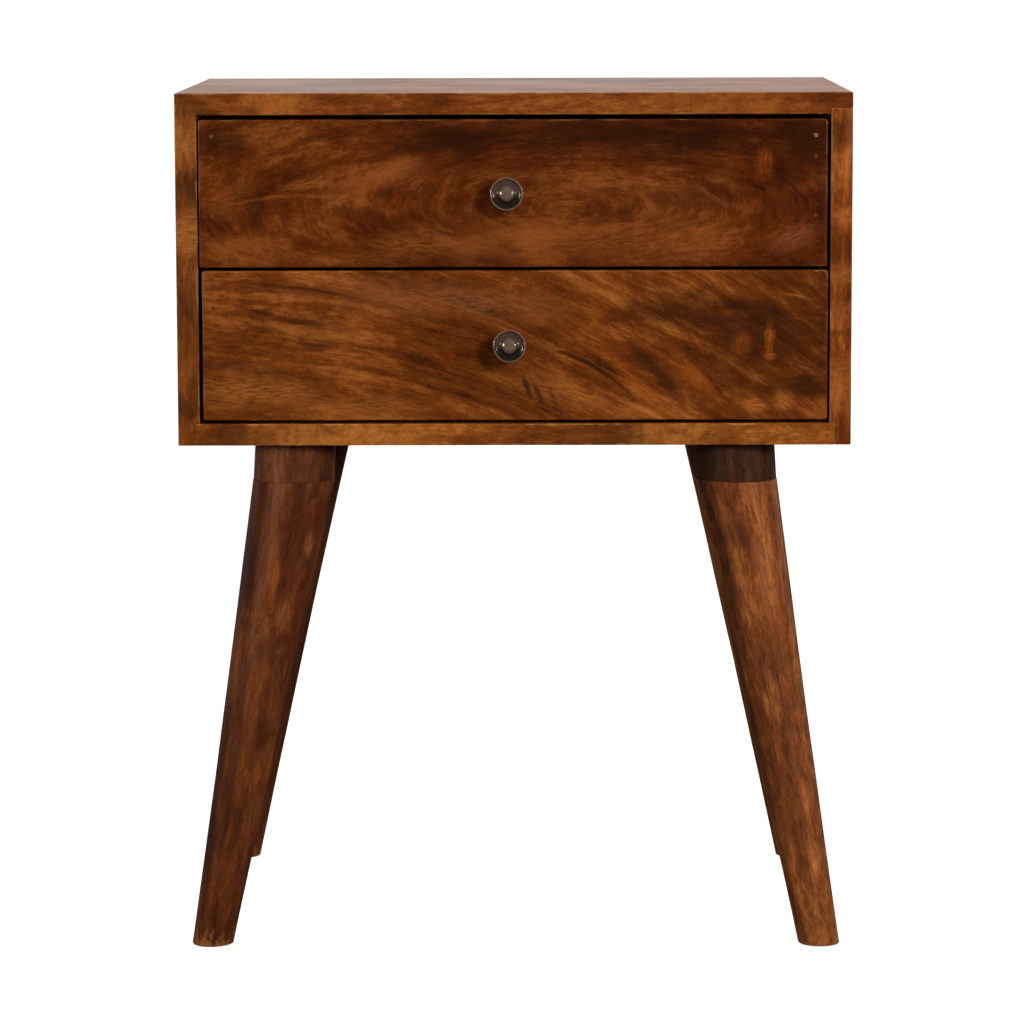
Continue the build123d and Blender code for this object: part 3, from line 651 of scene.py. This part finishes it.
# Marks in the stain: shade, strength, place along and across the board from its middle, half length
#  and half width, all in millimetres, and where they aren't 0 the turn in degrees and the bow per
#  metre. Light shades break up into strands. The rosy marks are partly reddish stain and partly
#  painted sheen, where the lacquer catches the light.
LIGHT_SHADES = ("gold", "orange", "rosy")
UPPER_MARKS = [
    ("gold", 0.45, 57, -32, 84, 20), ("gold", 0.4, -20, -34, 44, 16), ("umber", 0.55, 125, 34, 46, 22),
    ("umber", 0.42, 128, 2, 44, 24), ("umber", 0.18, 70, 2, 40, 20), ("gold", 0.65, -62, -35, 52, 14, -10),
    ("umber", 0.8, -39, 36, 66, 20), ("umber", 0.85, 75, 38, 140, 22), ("umber", 0.85, 195, 32, 50, 34),
    ("umber", 0.55, 205, -6, 9, 52), ("umber", 0.85, -198, 36, 27, 18, 20),
    ("umber", 0.6, -182, 33, 15, 11), ("dark", 0.4, -120, 38, 26, 10, -10),
    ("dark", 0.3, -158, 12, 34, 9, 12), ("dark", 0.35, -90, -16, 44, 8, -22, 2.0),
    ("rosy", 0.4, -25, -36, 40, 12, -12), ("gold", 0.5, -190, -4, 30, 16, 10),
    ("umber", 0.45, -85, 0, 11, 7), ("rosy", 0.28, -70, 14, 24, 13, 10),
    ("gold", 0.85, -88, 12, 32, 10, 25), ("gold", 0.75, -138, 6, 24, 6, 12),
    ("gold", 0.85, -115, -4, 16, 5, 25), ("gold", 0.7, -158, -2, 58, 2.2, 5, 2.8),
    ("gold", 0.4, -45, 3, 20, 2.6, 72, 9.0), ("dark", 0.35, -36, -2, 22, 4, 70, 9.0),
    ("gold", 0.3, -8, 12, 44, 4, -3, 2.0), ("gold", 0.7, -43, -32, 24, 7, -20),
    ("gold", 0.75, 12, -35, 28, 9, -20), ("gold", 0.55, -180, -34, 36, 10, 5),
    ("gold", 0.32, -108, -42, 90, 7), ("dark", 0.3, 90, -16, 60, 10, -6),
    ("orange", 0.75, 167, 20, 8, 15, -8), ("gold", 0.45, 132, -2, 24, 2.4, -35, -6.0),
    # The rosy mark at 187, -29 is a painted sheen on the lacquer.
    ("rosy", 0.8, 187, -29, 24, 11, 28), ("umber", 0.34, 127, 33, 42, 14), ("umber", 0.2, 127, -2, 38, 15),
    ("gold", 0.34, -24, -33, 44, 13),
]
LOWER_MARKS = [
    ("umber", 0.62, 112, 23, 70, 17, -3), ("umber", 0.7, 165, 0, 66, 46), ("umber", 0.4, 195, 6, 52, 62),
    ("umber", 0.25, -208, 0, 14, 54), ("rosy", 0.22, -89, 30, 60, 15, -8),
    ("rosy", 0.58, -46, 31, 116, 16, -4), ("umber", 0.3, 130, 24, 84, 24, -3),
    ("umber", 0.25, -120, 8, 44, 14, -6), ("gold", 0.75, -178, -30, 50, 20),
    ("gold", 0.4, 20, -30, 44, 14, -20), ("gold", 0.45, -108, -40, 105, 10),
    ("dark", 0.4, -20, -8, 40, 9, -25), ("gold", 0.75, 44, -33, 32, 10, -25),
    ("umber", 0.8, 91, -13, 48, 7, -48, 1.5), ("orange", 0.75, 74, -18, 44, 6, -42, 2.5),
    ("orange", 0.6, 119, -20, 27, 8, -50), ("dark", 0.65, 136, -30, 20, 2.2, -52),
    ("umber", 0.95, 51, -13, 50, 2.6, -29, 4.6), ("umber", 0.9, 147, 26, 19, 5, -5),
    ("gold", 0.5, 187, 33, 24, 2.0, -12, 2.0), ("umber", 0.75, -132, 37, 72, 2.0, -9, 0.9),
    ("umber", 0.8, -172, 23, 20, 3.4, -14), ("umber", 0.72, -142, 16, 22, 3.2, -9),
    ("umber", 0.55, -168, 12, 22, 2.6, -8), ("umber", 0.6, -135, 0, 22, 3.4, -8),
    ("umber", 0.65, -64, -10, 22, 3.6, -12), ("umber", 0.45, -96, -16, 26, 3.0, -10),
    ("umber", 0.85, 8, -28, 12, 2.4, -70), ("umber", 0.8, 16, -33, 12, 2.4, -65),
    ("dark", 0.6, 26, -36, 10, 2.0, -68), ("gold", 0.85, 160, -41, 11, 7),
    ("gold", 0.85, 180, -39, 12, 9, -40), ("orange", 0.8, 170, 2, 4.5, 17), ("orange", 0.9, 170, -7, 7, 6),
    ("orange", 0.45, 151, 1, 9, 10), ("umber", 0.75, 195, -26, 17, 15), ("umber", 0.45, 206, 6, 8, 54),
]
TOP_MARKS = [
    ("gold", 0.75, -160, -150, 30, 16), ("umber", 0.55, -215, -150, 28, 30),
    ("gold", 0.35, 40, -60, 90, 40), ("umber", 0.35, -90, 60, 120, 30, 4),
    ("gold", 0.35, 130, -150, 60, 14),
]
BOTTOM_MARKS = [
    ("gold", 0.5, -120, -150, 90, 20), ("umber", 0.6, 70, -150, 34, 8), ("gold", 0.5, 110, -150, 50, 20),
    ("umber", 0.5, -195, -150, 18, 20),
]
LEFT_MARKS = [
    ("gold", 0.75, 31, -150, 24, 60), ("umber", 0.55, 62, -150, 15, 50), ("gold", 0.35, 88, -150, 20, 50),
    ("umber", 0.5, -15, -150, 32, 60), ("orange", 0.25, -58, -150, 16, 40),
    ("umber", 0.45, -86, -150, 12, 40), ("orange", 0.25, -104, -150, 10, 30),
    ("umber", 0.5, 112, -150, 8, 40),
]
RIGHT_MARKS = [
    ("umber", 0.45, 96, -150, 16, 50), ("gold", 0.45, 41, -150, 12, 40), ("dark", 0.35, 22, -150, 11, 40),
    ("gold", 0.45, 1, -150, 11, 50), ("rosy", 0.4, -23, -150, 12, 40), ("dark", 0.45, -37, -150, 4, 30),
    ("gold", 0.45, -71, -150, 24, 60), ("umber", 0.35, -108, -150, 9, 40),
]
# On the front legs, the places are along from the foot and across from the middle, to the left.
LEFT_LEG_MARKS = [
    ("orange", 0.75, 253, 0, 18, 5), ("gold", 0.6, 230, -9, 14, 9), ("gold", 0.7, 280, -18, 11, 4),
    ("gold", 0.5, 181, 5, 17, 3.2), ("orange", 0.45, 163, 5, 14, 3.5), ("orange", 0.55, 121, -10, 11, 2.6),
    ("orange", 0.22, 117, 1, 32, 6), ("orange", 0.45, 75, 2, 15, 3.5), ("orange", 0.28, 40, 0, 46, 12),
    ("umber", 0.65, 250, 20, 46, 9), ("umber", 0.45, 203, -2, 15, 9), ("umber", 0.35, 150, -8, 26, 7),
    ("umber", 0.4, 150, 15, 40, 6),
]
RIGHT_LEG_MARKS = [
    # The rosy mark down the leg's middle is a painted sheen.
    ("rosy", 0.45, 253, -6, 42, 5), ("orange", 0.5, 224, -12.5, 26, 5), ("gold", 0.35, 172, 1.6, 32, 6),
    ("gold", 0.5, 166, 7, 15, 2.6), ("umber", 0.45, 170, -16, 16, 4), ("gold", 0.5, 99, -7.5, 19, 3),
    ("gold", 0.55, 58, -6, 24, 4), ("umber", 0.55, 230, 20, 60, 8), ("umber", 0.45, 140, 16, 50, 7),
    ("umber", 0.55, 284, 8, 14, 18),
]


def marked(web, shade, grain, marks, shades, origin=ORIGIN):
    """Lays soft patches of the named shades over a colour, placed from an origin. Light patches break
    up into short strands that follow each patch's own direction."""
    fine, coarse = 850.0, 130.0
    rough = web.noise(grain, (26.0, 80.0, 80.0), 4.0, 0.62)
    for name, strength, x, y, reach_x, reach_y, *leaning in marks:
        turn, bend = (*leaning, 0, 0)[:2]
        patch = place_group(web, patch_group(), grain=grain, rough=rough,
                            centre=(origin[0] + x * MM, origin[1] + y * MM, origin[2]),
                            reach=(reach_x * MM, reach_y * MM, 1.0), turn=math.radians(-turn),
                            bend=float(bend), ragged=1.5)
        cover = web.times(patch["Mask"], strength)
        if name in LIGHT_SHADES:
            ways = (coarse, fine, coarse) if reach_x > reach_y else (fine, coarse, coarse)
            strands = web.noise(patch["Own place"], ways, 4.0, 0.65)
            cover = web.times(cover, web.spread(strands, 0.38, 0.60, 0.30, 1.0))
        shade = web.mix(cover, shade, shades[name])
    return shade


# Each stained board's figure and finish. order puts the grain's direction first, heart is where its
# rings start, and the last entries of the drawer fronts shape the flow of their grain.
BOARDS = {
    "top_panel": dict(order="XYZ", heart=(0.1, 0.12, -0.02), squash=0.12, density=80.0, warp=0.02,
                      marks=TOP_MARKS, tint=(1.05, 1.00, 0.76), roughness=0.36, coat=0.03),
    "bottom_panel": dict(order="XYZ", heart=(-0.05, 0.16, 0.03), squash=0.10, density=85.0, warp=0.03,
                         marks=BOTTOM_MARKS, tint=(1.46, 1.58, 1.25)),
    "left_side_panel": dict(order="ZYX", heart=(0.02, 0.10, 0.04), squash=0.12, density=80.0, warp=0.025,
                            marks=LEFT_MARKS, tint=(1.08, 1.14, 0.95)),
    "right_side_panel": dict(order="ZYX", heart=(-0.03, -0.12, 0.04), squash=0.12, density=75.0,
                             warp=0.025, marks=RIGHT_MARKS, tint=(1.18, 1.12, 0.93)),
    "upper_drawer_front": dict(order="XZY", heart=ORIGIN, squash=0.02, density=62.0, warp=0.022,
                               marks=UPPER_MARKS, tint=(0.71, 0.61, 0.50), roughness=0.22, coat=0.10,
                               ring_heart=(0.042, -0.009, 0.0), ring_squash=(0.27, 1.0, 0.0),
                               rings=(1.0, 1.0, 1.0)),
    "lower_drawer_front": dict(order="XZY", heart=(0.0, 0.25, 0.05), squash=0.03, density=70.0,
                               warp=0.034, marks=LOWER_MARKS, tint=(1.02, 0.98, 0.74), roughness=0.22,
                               coat=0.10, slope=0.38, bow=0.9),
}
# The stains of the turned pieces on either hand; a seed says whose coordinates the marks are placed in.
TURNED_STAINS = {
    ("left", "leg"): dict(tint=(0.88, 0.80, 0.70), marks=LEFT_LEG_MARKS, seed=1),
    ("right", "leg"): dict(tint=(1.70, 1.68, 1.35), marks=RIGHT_LEG_MARKS, seed=2, cloudy=0.22),
    ("left", "leg_block"): dict(tint=(1.25, 1.35, 1.35)),
    ("right", "leg_block"): dict(tint=(0.42, 0.56, 0.75)),
}


def board_material(node, finish, order, heart, squash, density, warp, marks, tint, roughness=0.27,
                   coat=0.15, **flowing):
    """Stained and lacquered hardwood for one board, its stain multiplied by a tint."""
    material, web, shader = new_material(node.replace("_panel", "").replace("_drawer", "") + "_stain")
    low, high = corners(node)
    middle = (low + high) / 2
    grain = along_grain(web, web.moved(object_place(web), -middle), order)
    seed = 1.0 + list(BOARDS).index(node)
    shift = (seed * 0.83, seed * 0.31, seed * 0.47)
    flow = web.vector("ADD", place_group(web, flow_group(), grain=grain, **flowing)["Place"], shift)
    figure = place_group(web, figure_group(), grain=flow, squash=(squash, 1.0, 1.0), density=density,
                         heart=tuple(a + b for a, b in zip(heart, shift)), warp=(warp * 2.5, warp, warp))
    shades = {name: tinted(getattr(finish, name), tint)
              for name in ("dark", "brown", "gold", "orange", "rosy", "umber", "rubbed")}
    shade = stained(web, figure, web.vector("ADD", grain, shift), flow,
                    [shades[name] for name in ("dark", "brown", "gold")])
    shade = marked(web, shade, grain, marks, shades)
    worn = place_group(web, arris_group(), place=object_place(web), centre=tuple(middle),
                       half=tuple((high - low) / 2), width=1.1 * MM)["Mask"]
    shade = web.mix(web.times(worn, 0.6), shade, shades["rubbed"])
    finish_wood(web, shader, shade, figure, roughness, coat)
    return material


def leg_material(name, finish, tint, marks=(), seed=0, cloudy=0.38):
    """Darker, purplish stain on turned wood, with the grain along the leg and tan streaks; the
    foot's edge is scuffed. It reads each leg's own coordinates, and the marks start where those of
    the seed do."""
    material, web, shader = new_material(name)
    grain = web.add("ShaderNodeAttribute", attribute_name="grain").outputs["Vector"]
    figure = place_group(web, figure_group(), grain=grain, heart=(0.0, 0.25, 0.1),
                         squash=(0.05, 1.0, 1.0), density=110.0, warp=(0.05, 0.012, 0.012))
    dark, brown, tan = (tinted(getattr(finish, key), tint) for key in ("leg_dark", "leg_brown", "leg_tan"))
    shade = stained(web, figure, grain, grain, (dark, brown, dimmed(tan, 0.7)), (8.0, 34.0, 34.0), cloudy)
    where = web.noise(grain, (7.0, 26.0, 26.0), 3.0, 0.5)
    flecks = web.noise(grain, (26.0, 420.0, 420.0), 4.0, 0.65)
    streaked = web.times(web.spread(where, 0.52, 0.68), web.spread(flecks, 0.44, 0.66))
    shade = web.mix(web.times(streaked, 0.45), shade, tan)
    shades = {"umber": dark, "gold": tan, "orange": tuple(finish.orange), "rosy": tuple(finish.rosy)}
    shade = marked(web, shade, grain, marks, shades, leg_origin(seed))
    place = object_place(web)
    ragged = web.noise(place, (330.0, 330.0, 120.0), 4.0, 0.7)
    scuff_height = web.times(web.spread(ragged, 0.38, 0.68, 0.02, 1.0), 22 * MM)
    scuff = web.minus(1.0, web.math("DIVIDE", web.parts(place)["Z"], scuff_height), clamp=True)
    shade = web.mix(web.times(scuff, 0.80), shade, tuple(finish.scuffed))
    finish_wood(web, shader, shade, figure, 0.36, 0.02, specular=0.12)
    return material


def bare_material(name, order, finish, seed, light):
    """Unstained planed wood or thin plywood, nearly matt, with the given shade as its lightest."""
    material, web, shader = new_material(name)
    grain = along_grain(web, object_place(web), order)
    seeded = web.vector("ADD", grain, (seed, seed * 0.4, seed * 0.7))
    figure = place_group(web, figure_group(), grain=seeded, heart=(0.1, 0.3, 0.2),
                         squash=(0.08, 1.0, 1.0), density=95.0, warp=(0.06, 0.02, 0.02))
    light, dark = tuple(light), tuple(finish.bare_dark)
    middle = tuple((a * 2 + b) / 3 for a, b in zip(light, dark))
    shade = stained(web, figure, seeded, seeded, (dark, middle, light), cloudy=0.25)
    finish_wood(web, shader, shade, figure, 0.62, 0.0)
    return material


def knob_material(node, finish):
    """Old brass: dark in the dish and the neck, rubbed bright on the rim and the button, with fine
    turning marks round its axis. The tarnish is painted lighter above the knob's middle and darker
    below it, as painted shade and reflection."""
    material, web, shader = new_material(f"{node}_brass")
    low, high = corners(node)
    tip = np.array([(low[0] + high[0]) / 2, low[1], (low[2] + high[2]) / 2])
    place = web.moved(object_place(web), -tip)
    parts = web.parts(place)
    out = web.vector("LENGTH", web.vector("MULTIPLY", place, (1.0, 0.0, 1.0)))
    radius = float(high[0] - low[0]) / 2
    rim = web.spread(out, radius * 0.86, radius * 0.94)
    button = web.spread(out, 6.4 * MM, 2.8 * MM)
    forward = web.spread(parts["Y"], 5.0 * MM, 2.2 * MM)
    patina = web.noise(place, (420.0, 420.0, 420.0), 4.0, 0.6)
    bright = web.times(web.math("MAXIMUM", rim, button), forward)
    rubbed = web.times(bright, web.spread(patina, 0.30, 0.55, 0.55, 1.0))
    # Painted shade: a lighter copy of the tarnish above the knob's middle and a darker copy below it,
    # standing in for the shading of the dish.
    painted_shade_below = web.spread(parts["Z"], 1.5 * MM, -3.0 * MM)
    tarnish = web.mix(painted_shade_below, dimmed(finish.tarnish, 1.7), dimmed(finish.tarnish, 0.42))
    rings = web.line_noise(web.times(out, 9000.0), 2.0)
    height = web.times_plus(patina, 0.5, web.times(rings, 0.5))
    web.feed(shader, {"Base Color": web.mix(rubbed, tarnish, tuple(finish.brass)), "Metallic": 0.65,
                      "Roughness": web.times_plus(web.spread(patina, 0.3, 0.7), 0.10, 0.17),
                      "Normal": web.bump(height, 0.10, 0.03 * MM)})
    return material


def metal_material(name, shade, roughness):
    """Plated or machined metal with a faint mottle."""
    material, web, shader = new_material(name)
    mottle = web.noise(object_place(web), (700.0, 700.0, 700.0), 3.0, 0.6)
    web.feed(shader, {"Base Color": web.mix(web.spread(mottle, 0.35, 0.65), dimmed(shade, 0.7), shade),
                      "Metallic": 1.0, "Roughness": web.times_plus(mottle, 0.2, roughness)})
    return material


def filler_material(name, node, finish, strengths):
    """Nail heads filled and stained over. strengths say how much pale filler shows at the left end,
    on the right end's top nail and on its other nails."""
    material, web, shader = new_material(name)
    place = object_place(web)
    parts = web.parts(place)
    left, right_top, right = strengths
    top = float(corners(node)[1][2])
    level = web.spread(parts["Z"], top - 9 * MM, top - 7 * MM, right, right_top)
    at_right = web.math("GREATER_THAN", parts["X"], 0.0)
    shown = web.plus(web.times(at_right, level), web.times(web.minus(1.0, at_right), left))
    mottle = web.noise(place, (1100.0, 1100.0, 1100.0), 3.0, 0.6)
    shown = web.times(shown, web.spread(mottle, 0.42, 0.60, 0.2, 1.0))
    web.feed(shader, {"Base Color": web.mix(shown, dimmed(finish.brown, 0.6), tuple(finish.filler)),
                      "Roughness": web.times_plus(mottle, 0.3, 0.35), "Specular IOR Level": 0.10})
    return material


def dress(node, material):
    """Puts a material into every slot of a CAD node."""
    piece = NODES[node]
    if not piece.material_slots:
        piece.data.materials.append(material)
    for slot in piece.material_slots:
        slot.material = material


# ---------------------------------------------------------------- operators

class BEDSIDE_OT_case(bpy.types.Operator):
    """Stain and lacquer on the case's boards, and plywood for its back"""
    bl_idname = "bedside.make_case"
    bl_label = "Case boards"

    def execute(self, context):
        finish = context.scene.bedside_finish
        for node in BOARDS:
            if node.endswith("_panel"):
                dress(node, board_material(node, finish, **BOARDS[node]))
        dress("back_panel", bare_material("back_ply", "XZY", finish, 1.3, finish.ply))
        return {"FINISHED"}


class BEDSIDE_OT_legs(bpy.types.Operator):
    """Turned legs and their blocks, slightly uneven from sanding, with scuffed feet"""
    bl_idname = "bedside.make_legs"
    bl_label = "Legs and blocks"

    def execute(self, context):
        sizes, finish = context.scene.bedside_legs, context.scene.bedside_finish
        stains = {(hand, kind): leg_material(f"{hand}_{kind.removeprefix('leg_')}_stain", finish, **look)
                  for (hand, kind), look in TURNED_STAINS.items()}
        mounts = {m["name"]: m["pos_m"] for m in RECORD["mounts"]}
        case_low, case_high = corners("left_side_panel")[0], corners("top_panel")[1]
        for index, name in enumerate(LEG_NAMES):
            foot = np.array(mounts[f"{name}_foot_face"])
            right, rear = foot[0] > 0, "rear" in name
            joint = np.array([(case_high[0] - sizes.inset_x) if right else (case_low[0] + sizes.inset_x),
                              (case_high[1] - sizes.inset_y) if rear else (case_low[1] + sizes.inset_y),
                              corners(f"{name}_leg")[1][2]])
            leg = turned_surface(f"{name}_turned_leg", foot, joint, sizes.foot_radius, sizes.top_radius,
                                 sizes.foot_wear, sizes.joint_edge, sizes.unevenness, index + 1,
                                 sizes.hollow)
            out = (foot - joint) * (1, 1, 0)
            top_z = corners(f"{name}_leg_block")[1][2]
            head = joint - out / np.linalg.norm(out) * (top_z - joint[2]) * math.tan(sizes.block_lean)
            head[2] = top_z
            block = turned_surface(f"{name}_turned_block", joint, head, sizes.block_radius,
                                   sizes.block_radius, sizes.joint_edge, sizes.joint_edge,
                                   sizes.unevenness * 0.3, index + 11, rows=14)
            for piece, kind in ((leg, "leg"), (block, "leg_block")):
                piece.data.materials.append(stains["right" if right else "left", kind])
                stands_for(piece, f"{name}_{kind}", "carcass")
        return {"FINISHED"}


class BEDSIDE_OT_fronts(bpy.types.Operator):
    """Drawer fronts with sanded edges, each with its own figure"""
    bl_idname = "bedside.make_fronts"
    bl_label = "Drawer fronts"

    def execute(self, context):
        sizes, finish = context.scene.bedside_fronts, context.scene.bedside_finish
        for seed, drawer in enumerate(DRAWERS, start=5):
            node = f"{drawer}_drawer_front"
            low, high = corners(node)
            low[1] += sizes.sink
            board = soft_board(f"{drawer}_front_board", low, high, sizes.edge, sizes.corner, sizes.wave,
                               seed, cells=(104, 4, 26))
            board.data.materials.append(board_material(node, finish, **BOARDS[node]))
            stands_for(board, node, f"{drawer}_drawer")
        return {"FINISHED"}


class BEDSIDE_OT_knobs(bpy.types.Operator):
    """Cast knobs with a rolled rim, a dish and a domed button"""
    bl_idname = "bedside.make_knobs"
    bl_label = "Knobs"

    def execute(self, context):
        sizes, finish = context.scene.bedside_knobs, context.scene.bedside_finish
        for drawer in DRAWERS:
            node = f"{drawer}_knob"
            low, high = corners(node)
            centre = np.array([(low[0] + high[0]) / 2, high[1], (low[2] + high[2]) / 2])
            profile = knob_profile(sizes, float(high[0] - low[0]) / 2, float(high[1] - low[1]))
            knob = revolved(f"{drawer}_cast_knob", profile, centre)
            knob.data.materials.append(knob_material(node, finish))
            stands_for(knob, node, f"{drawer}_drawer")
        return {"FINISHED"}


class BEDSIDE_OT_drawer_boxes(bpy.types.Operator):
    """Bare wood for the drawers' sides and backs and for the runners, plywood for their bottoms"""
    bl_idname = "bedside.make_drawer_boxes"
    bl_label = "Drawer boxes and runners"

    def execute(self, context):
        finish = context.scene.bedside_finish
        sides = bare_material("drawer_side_wood", "YZX", finish, 0.3, finish.bare)
        backs = bare_material("drawer_back_wood", "XZY", finish, 0.9, finish.bare)
        bottoms = bare_material("drawer_ply", "XYZ", finish, 1.7, finish.ply)
        for drawer in DRAWERS:
            for hand in ("left", "right"):
                dress(f"{drawer}_drawer_{hand}_side", sides)
                dress(f"{drawer}_{hand}_runner", sides)
            dress(f"{drawer}_drawer_back", backs)
            dress(f"{drawer}_drawer_bottom", bottoms)
        return {"FINISHED"}


class BEDSIDE_OT_fasteners(bpy.types.Operator):
    """Metal for the screws, nails, bolts and inserts, filler over the nails in the fronts, and beech
    for the dowels"""
    bl_idname = "bedside.make_fasteners"
    bl_label = "Fasteners"

    def execute(self, context):
        finish = context.scene.bedside_finish
        steel = metal_material("plated_steel", tuple(finish.steel), 0.28)
        dress("leg_inserts", metal_material("machined_brass", tuple(finish.insert), 0.26))
        dowel = bare_material("beech_dowel", "ZXY", finish, 2.1, finish.bare)
        for node in ("back_panel_nails", "runner_screws", "leg_block_screws", "leg_bolts"):
            dress(node, steel)
        for node in ("top_dowels", "bottom_dowels"):
            dress(node, dowel)
        for drawer, strengths in (("upper", (0.14, 0.70, 0.05)), ("lower", (0.04, 0.04, 0.03))):
            node = f"{drawer}_front_nails"
            dress(node, filler_material(f"{drawer}_filler", node, finish, strengths))
            for kind in ("knob_screw", "back_nails", "bottom_nails"):
                dress(f"{drawer}_{kind}", steel)
        return {"FINISHED"}


def softbox(name, place, aim, size, watts, shade=WHITE, mirrored=True):
    """A rectangular area light at a place, turned to face its aim. Unless it is mirrored, it lights
    the wood without a reflection of itself in the lacquer."""
    data = bpy.data.lights.new(name, "AREA")
    data.shape, data.size, data.size_y, data.energy, data.color = "RECTANGLE", *size, watts, shade
    light = bpy.data.objects.new(name, data)
    bpy.context.scene.collection.objects.link(light)
    light.location, light.visible_glossy = place, mirrored
    light.rotation_mode = "QUATERNION"
    light.rotation_quaternion = (Vector(aim) - Vector(place)).to_track_quat("-Z", "Y")


class BEDSIDE_OT_stage(bpy.types.Operator):
    """Pale floor, white surroundings, a softbox, two small lights, an overhead strip and the camera"""
    bl_idname = "bedside.make_stage"
    bl_label = "Stage"

    def execute(self, context):
        stage = context.scene.bedside_stage
        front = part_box("top_panel")[0][1]
        self.floor()
        self.surroundings(stage)
        self.lights(stage, front)
        self.camera(stage, front)
        context.scene.view_settings.view_transform = "Standard"
        return {"FINISHED"}

    def floor(self):
        """A wide level square just under the feet, white to the eye and dim as light."""
        reach, drop = 60.0, 0.5 * MM
        points = np.array([[-reach, -reach, -drop], [reach, -reach, -drop], [reach, reach, -drop],
                           [-reach, reach, -drop]])
        floor = make_piece("studio_floor", points, np.array([[0, 1, 2, 3]]), closed=False)
        material, web, shader = new_material("pale_floor")
        eye = web.add("ShaderNodeLightPath").outputs["Is Camera Ray"]
        web.feed(shader, {"Base Color": web.mix(eye, (0.05, 0.05, 0.05), (0.86, 0.86, 0.86)),
                          "Roughness": 0.9, "Specular IOR Level": 0.0, "Emission Color": (*WHITE, 1.0),
                          "Emission Strength": web.times_plus(eye, 0.80, 0.005)})
        floor.data.materials.append(material)

    def surroundings(self, stage):
        """White to the eye everywhere; as light, a white wall behind and a dim room in front."""
        world = bpy.data.worlds.new("studio")
        bpy.context.scene.world = world
        world.use_nodes = True
        web = Web(world.node_tree)
        way = web.parts(web.add("ShaderNodeTexCoord").outputs["Generated"])
        wall = web.spread(way["Y"], -0.05, 0.45, stage.room, stage.surround)
        eye = web.add("ShaderNodeLightPath").outputs["Is Camera Ray"]
        web.feed(world.node_tree.nodes["Background"], {
            "Strength": web.math("MAXIMUM", eye, wall), "Color": web.mix(eye, (1.0, 0.94, 0.88), WHITE)})

    def lights(self, stage, front):
        aim, beside, cool = (0.0, front, 0.40), (1.43, front - 1.20, 0.62), (0.9, 0.95, 1.0)
        softbox("key_softbox", (1.00, front - 2.00, 1.12), aim, (0.42, 0.42), stage.key_power,
                mirrored=False)
        softbox("fill_softbox", (-beside[0], *beside[1:]), aim, (0.22, 0.26), stage.fill_power)
        softbox("glint_softbox", beside, aim, (0.18, 0.22), stage.glint_power)
        softbox("top_strip", (0.0, front - 0.55, 1.75), aim, (0.9, 0.25), stage.top_power, cool,
                mirrored=False)

    def camera(self, stage, front):
        pitch, turn, roll = stage.camera_pitch, stage.camera_turn, stage.camera_roll
        forward = Vector((math.sin(turn) * math.cos(pitch), math.cos(turn) * math.cos(pitch),
                          -math.sin(pitch)))
        level = Vector((math.cos(turn), -math.sin(turn), 0.0))
        upright = level.cross(forward)
        side = level * math.cos(roll) + upright * math.sin(roll)
        up = upright * math.cos(roll) - level * math.sin(roll)
        data = bpy.data.cameras.new("camera")
        data.lens, data.sensor_width, data.clip_end = stage.camera_lens, 36.0, 60.0
        camera = bpy.data.objects.new("camera", data)
        bpy.context.scene.collection.objects.link(camera)
        turnings = Matrix((side, up, -forward)).transposed().to_4x4()
        place = Vector((stage.camera_side, front - stage.camera_distance, stage.camera_height))
        camera.matrix_world = Matrix.Translation(place) @ turnings
        bpy.context.scene.camera = camera


STEPS = (BEDSIDE_OT_case, BEDSIDE_OT_legs, BEDSIDE_OT_fronts, BEDSIDE_OT_knobs, BEDSIDE_OT_drawer_boxes,
         BEDSIDE_OT_fasteners, BEDSIDE_OT_stage)
SETTINGS = {"bedside_legs": BedsideLegs, "bedside_fronts": BedsideFronts, "bedside_knobs": BedsideKnobs,
            "bedside_finish": BedsideFinish, "bedside_stage": BedsideStage}


class BEDSIDE_PT_panel(bpy.types.Panel):
    """Lists the cabinet's pieces and the stage"""
    bl_idname = "BEDSIDE_PT_panel"
    bl_label = "Bedside cabinet"
    bl_space_type = "VIEW_3D"
    bl_region_type = "UI"
    bl_category = "Bedside"

    def draw(self, context):
        for step in STEPS:
            self.layout.operator(step.bl_idname)
        for name in SETTINGS:
            group_box = self.layout.box()
            settings = getattr(context.scene, name)
            for key in settings.__annotations__:
                group_box.prop(settings, key)


CLASSES = (*SETTINGS.values(), *STEPS, BEDSIDE_PT_panel)


def register():
    for cls in CLASSES:
        bpy.utils.register_class(cls)
    for name, cls in SETTINGS.items():
        setattr(bpy.types.Scene, name, bpy.props.PointerProperty(type=cls))


def unregister():
    for name in SETTINGS:
        delattr(bpy.types.Scene, name)
    for cls in reversed(CLASSES):
        bpy.utils.unregister_class(cls)


def main():
    register()
    for step in STEPS:
        family, verb = step.bl_idname.split(".")
        getattr(getattr(bpy.ops, family), verb)()


if __name__ == "__main__":
    main()
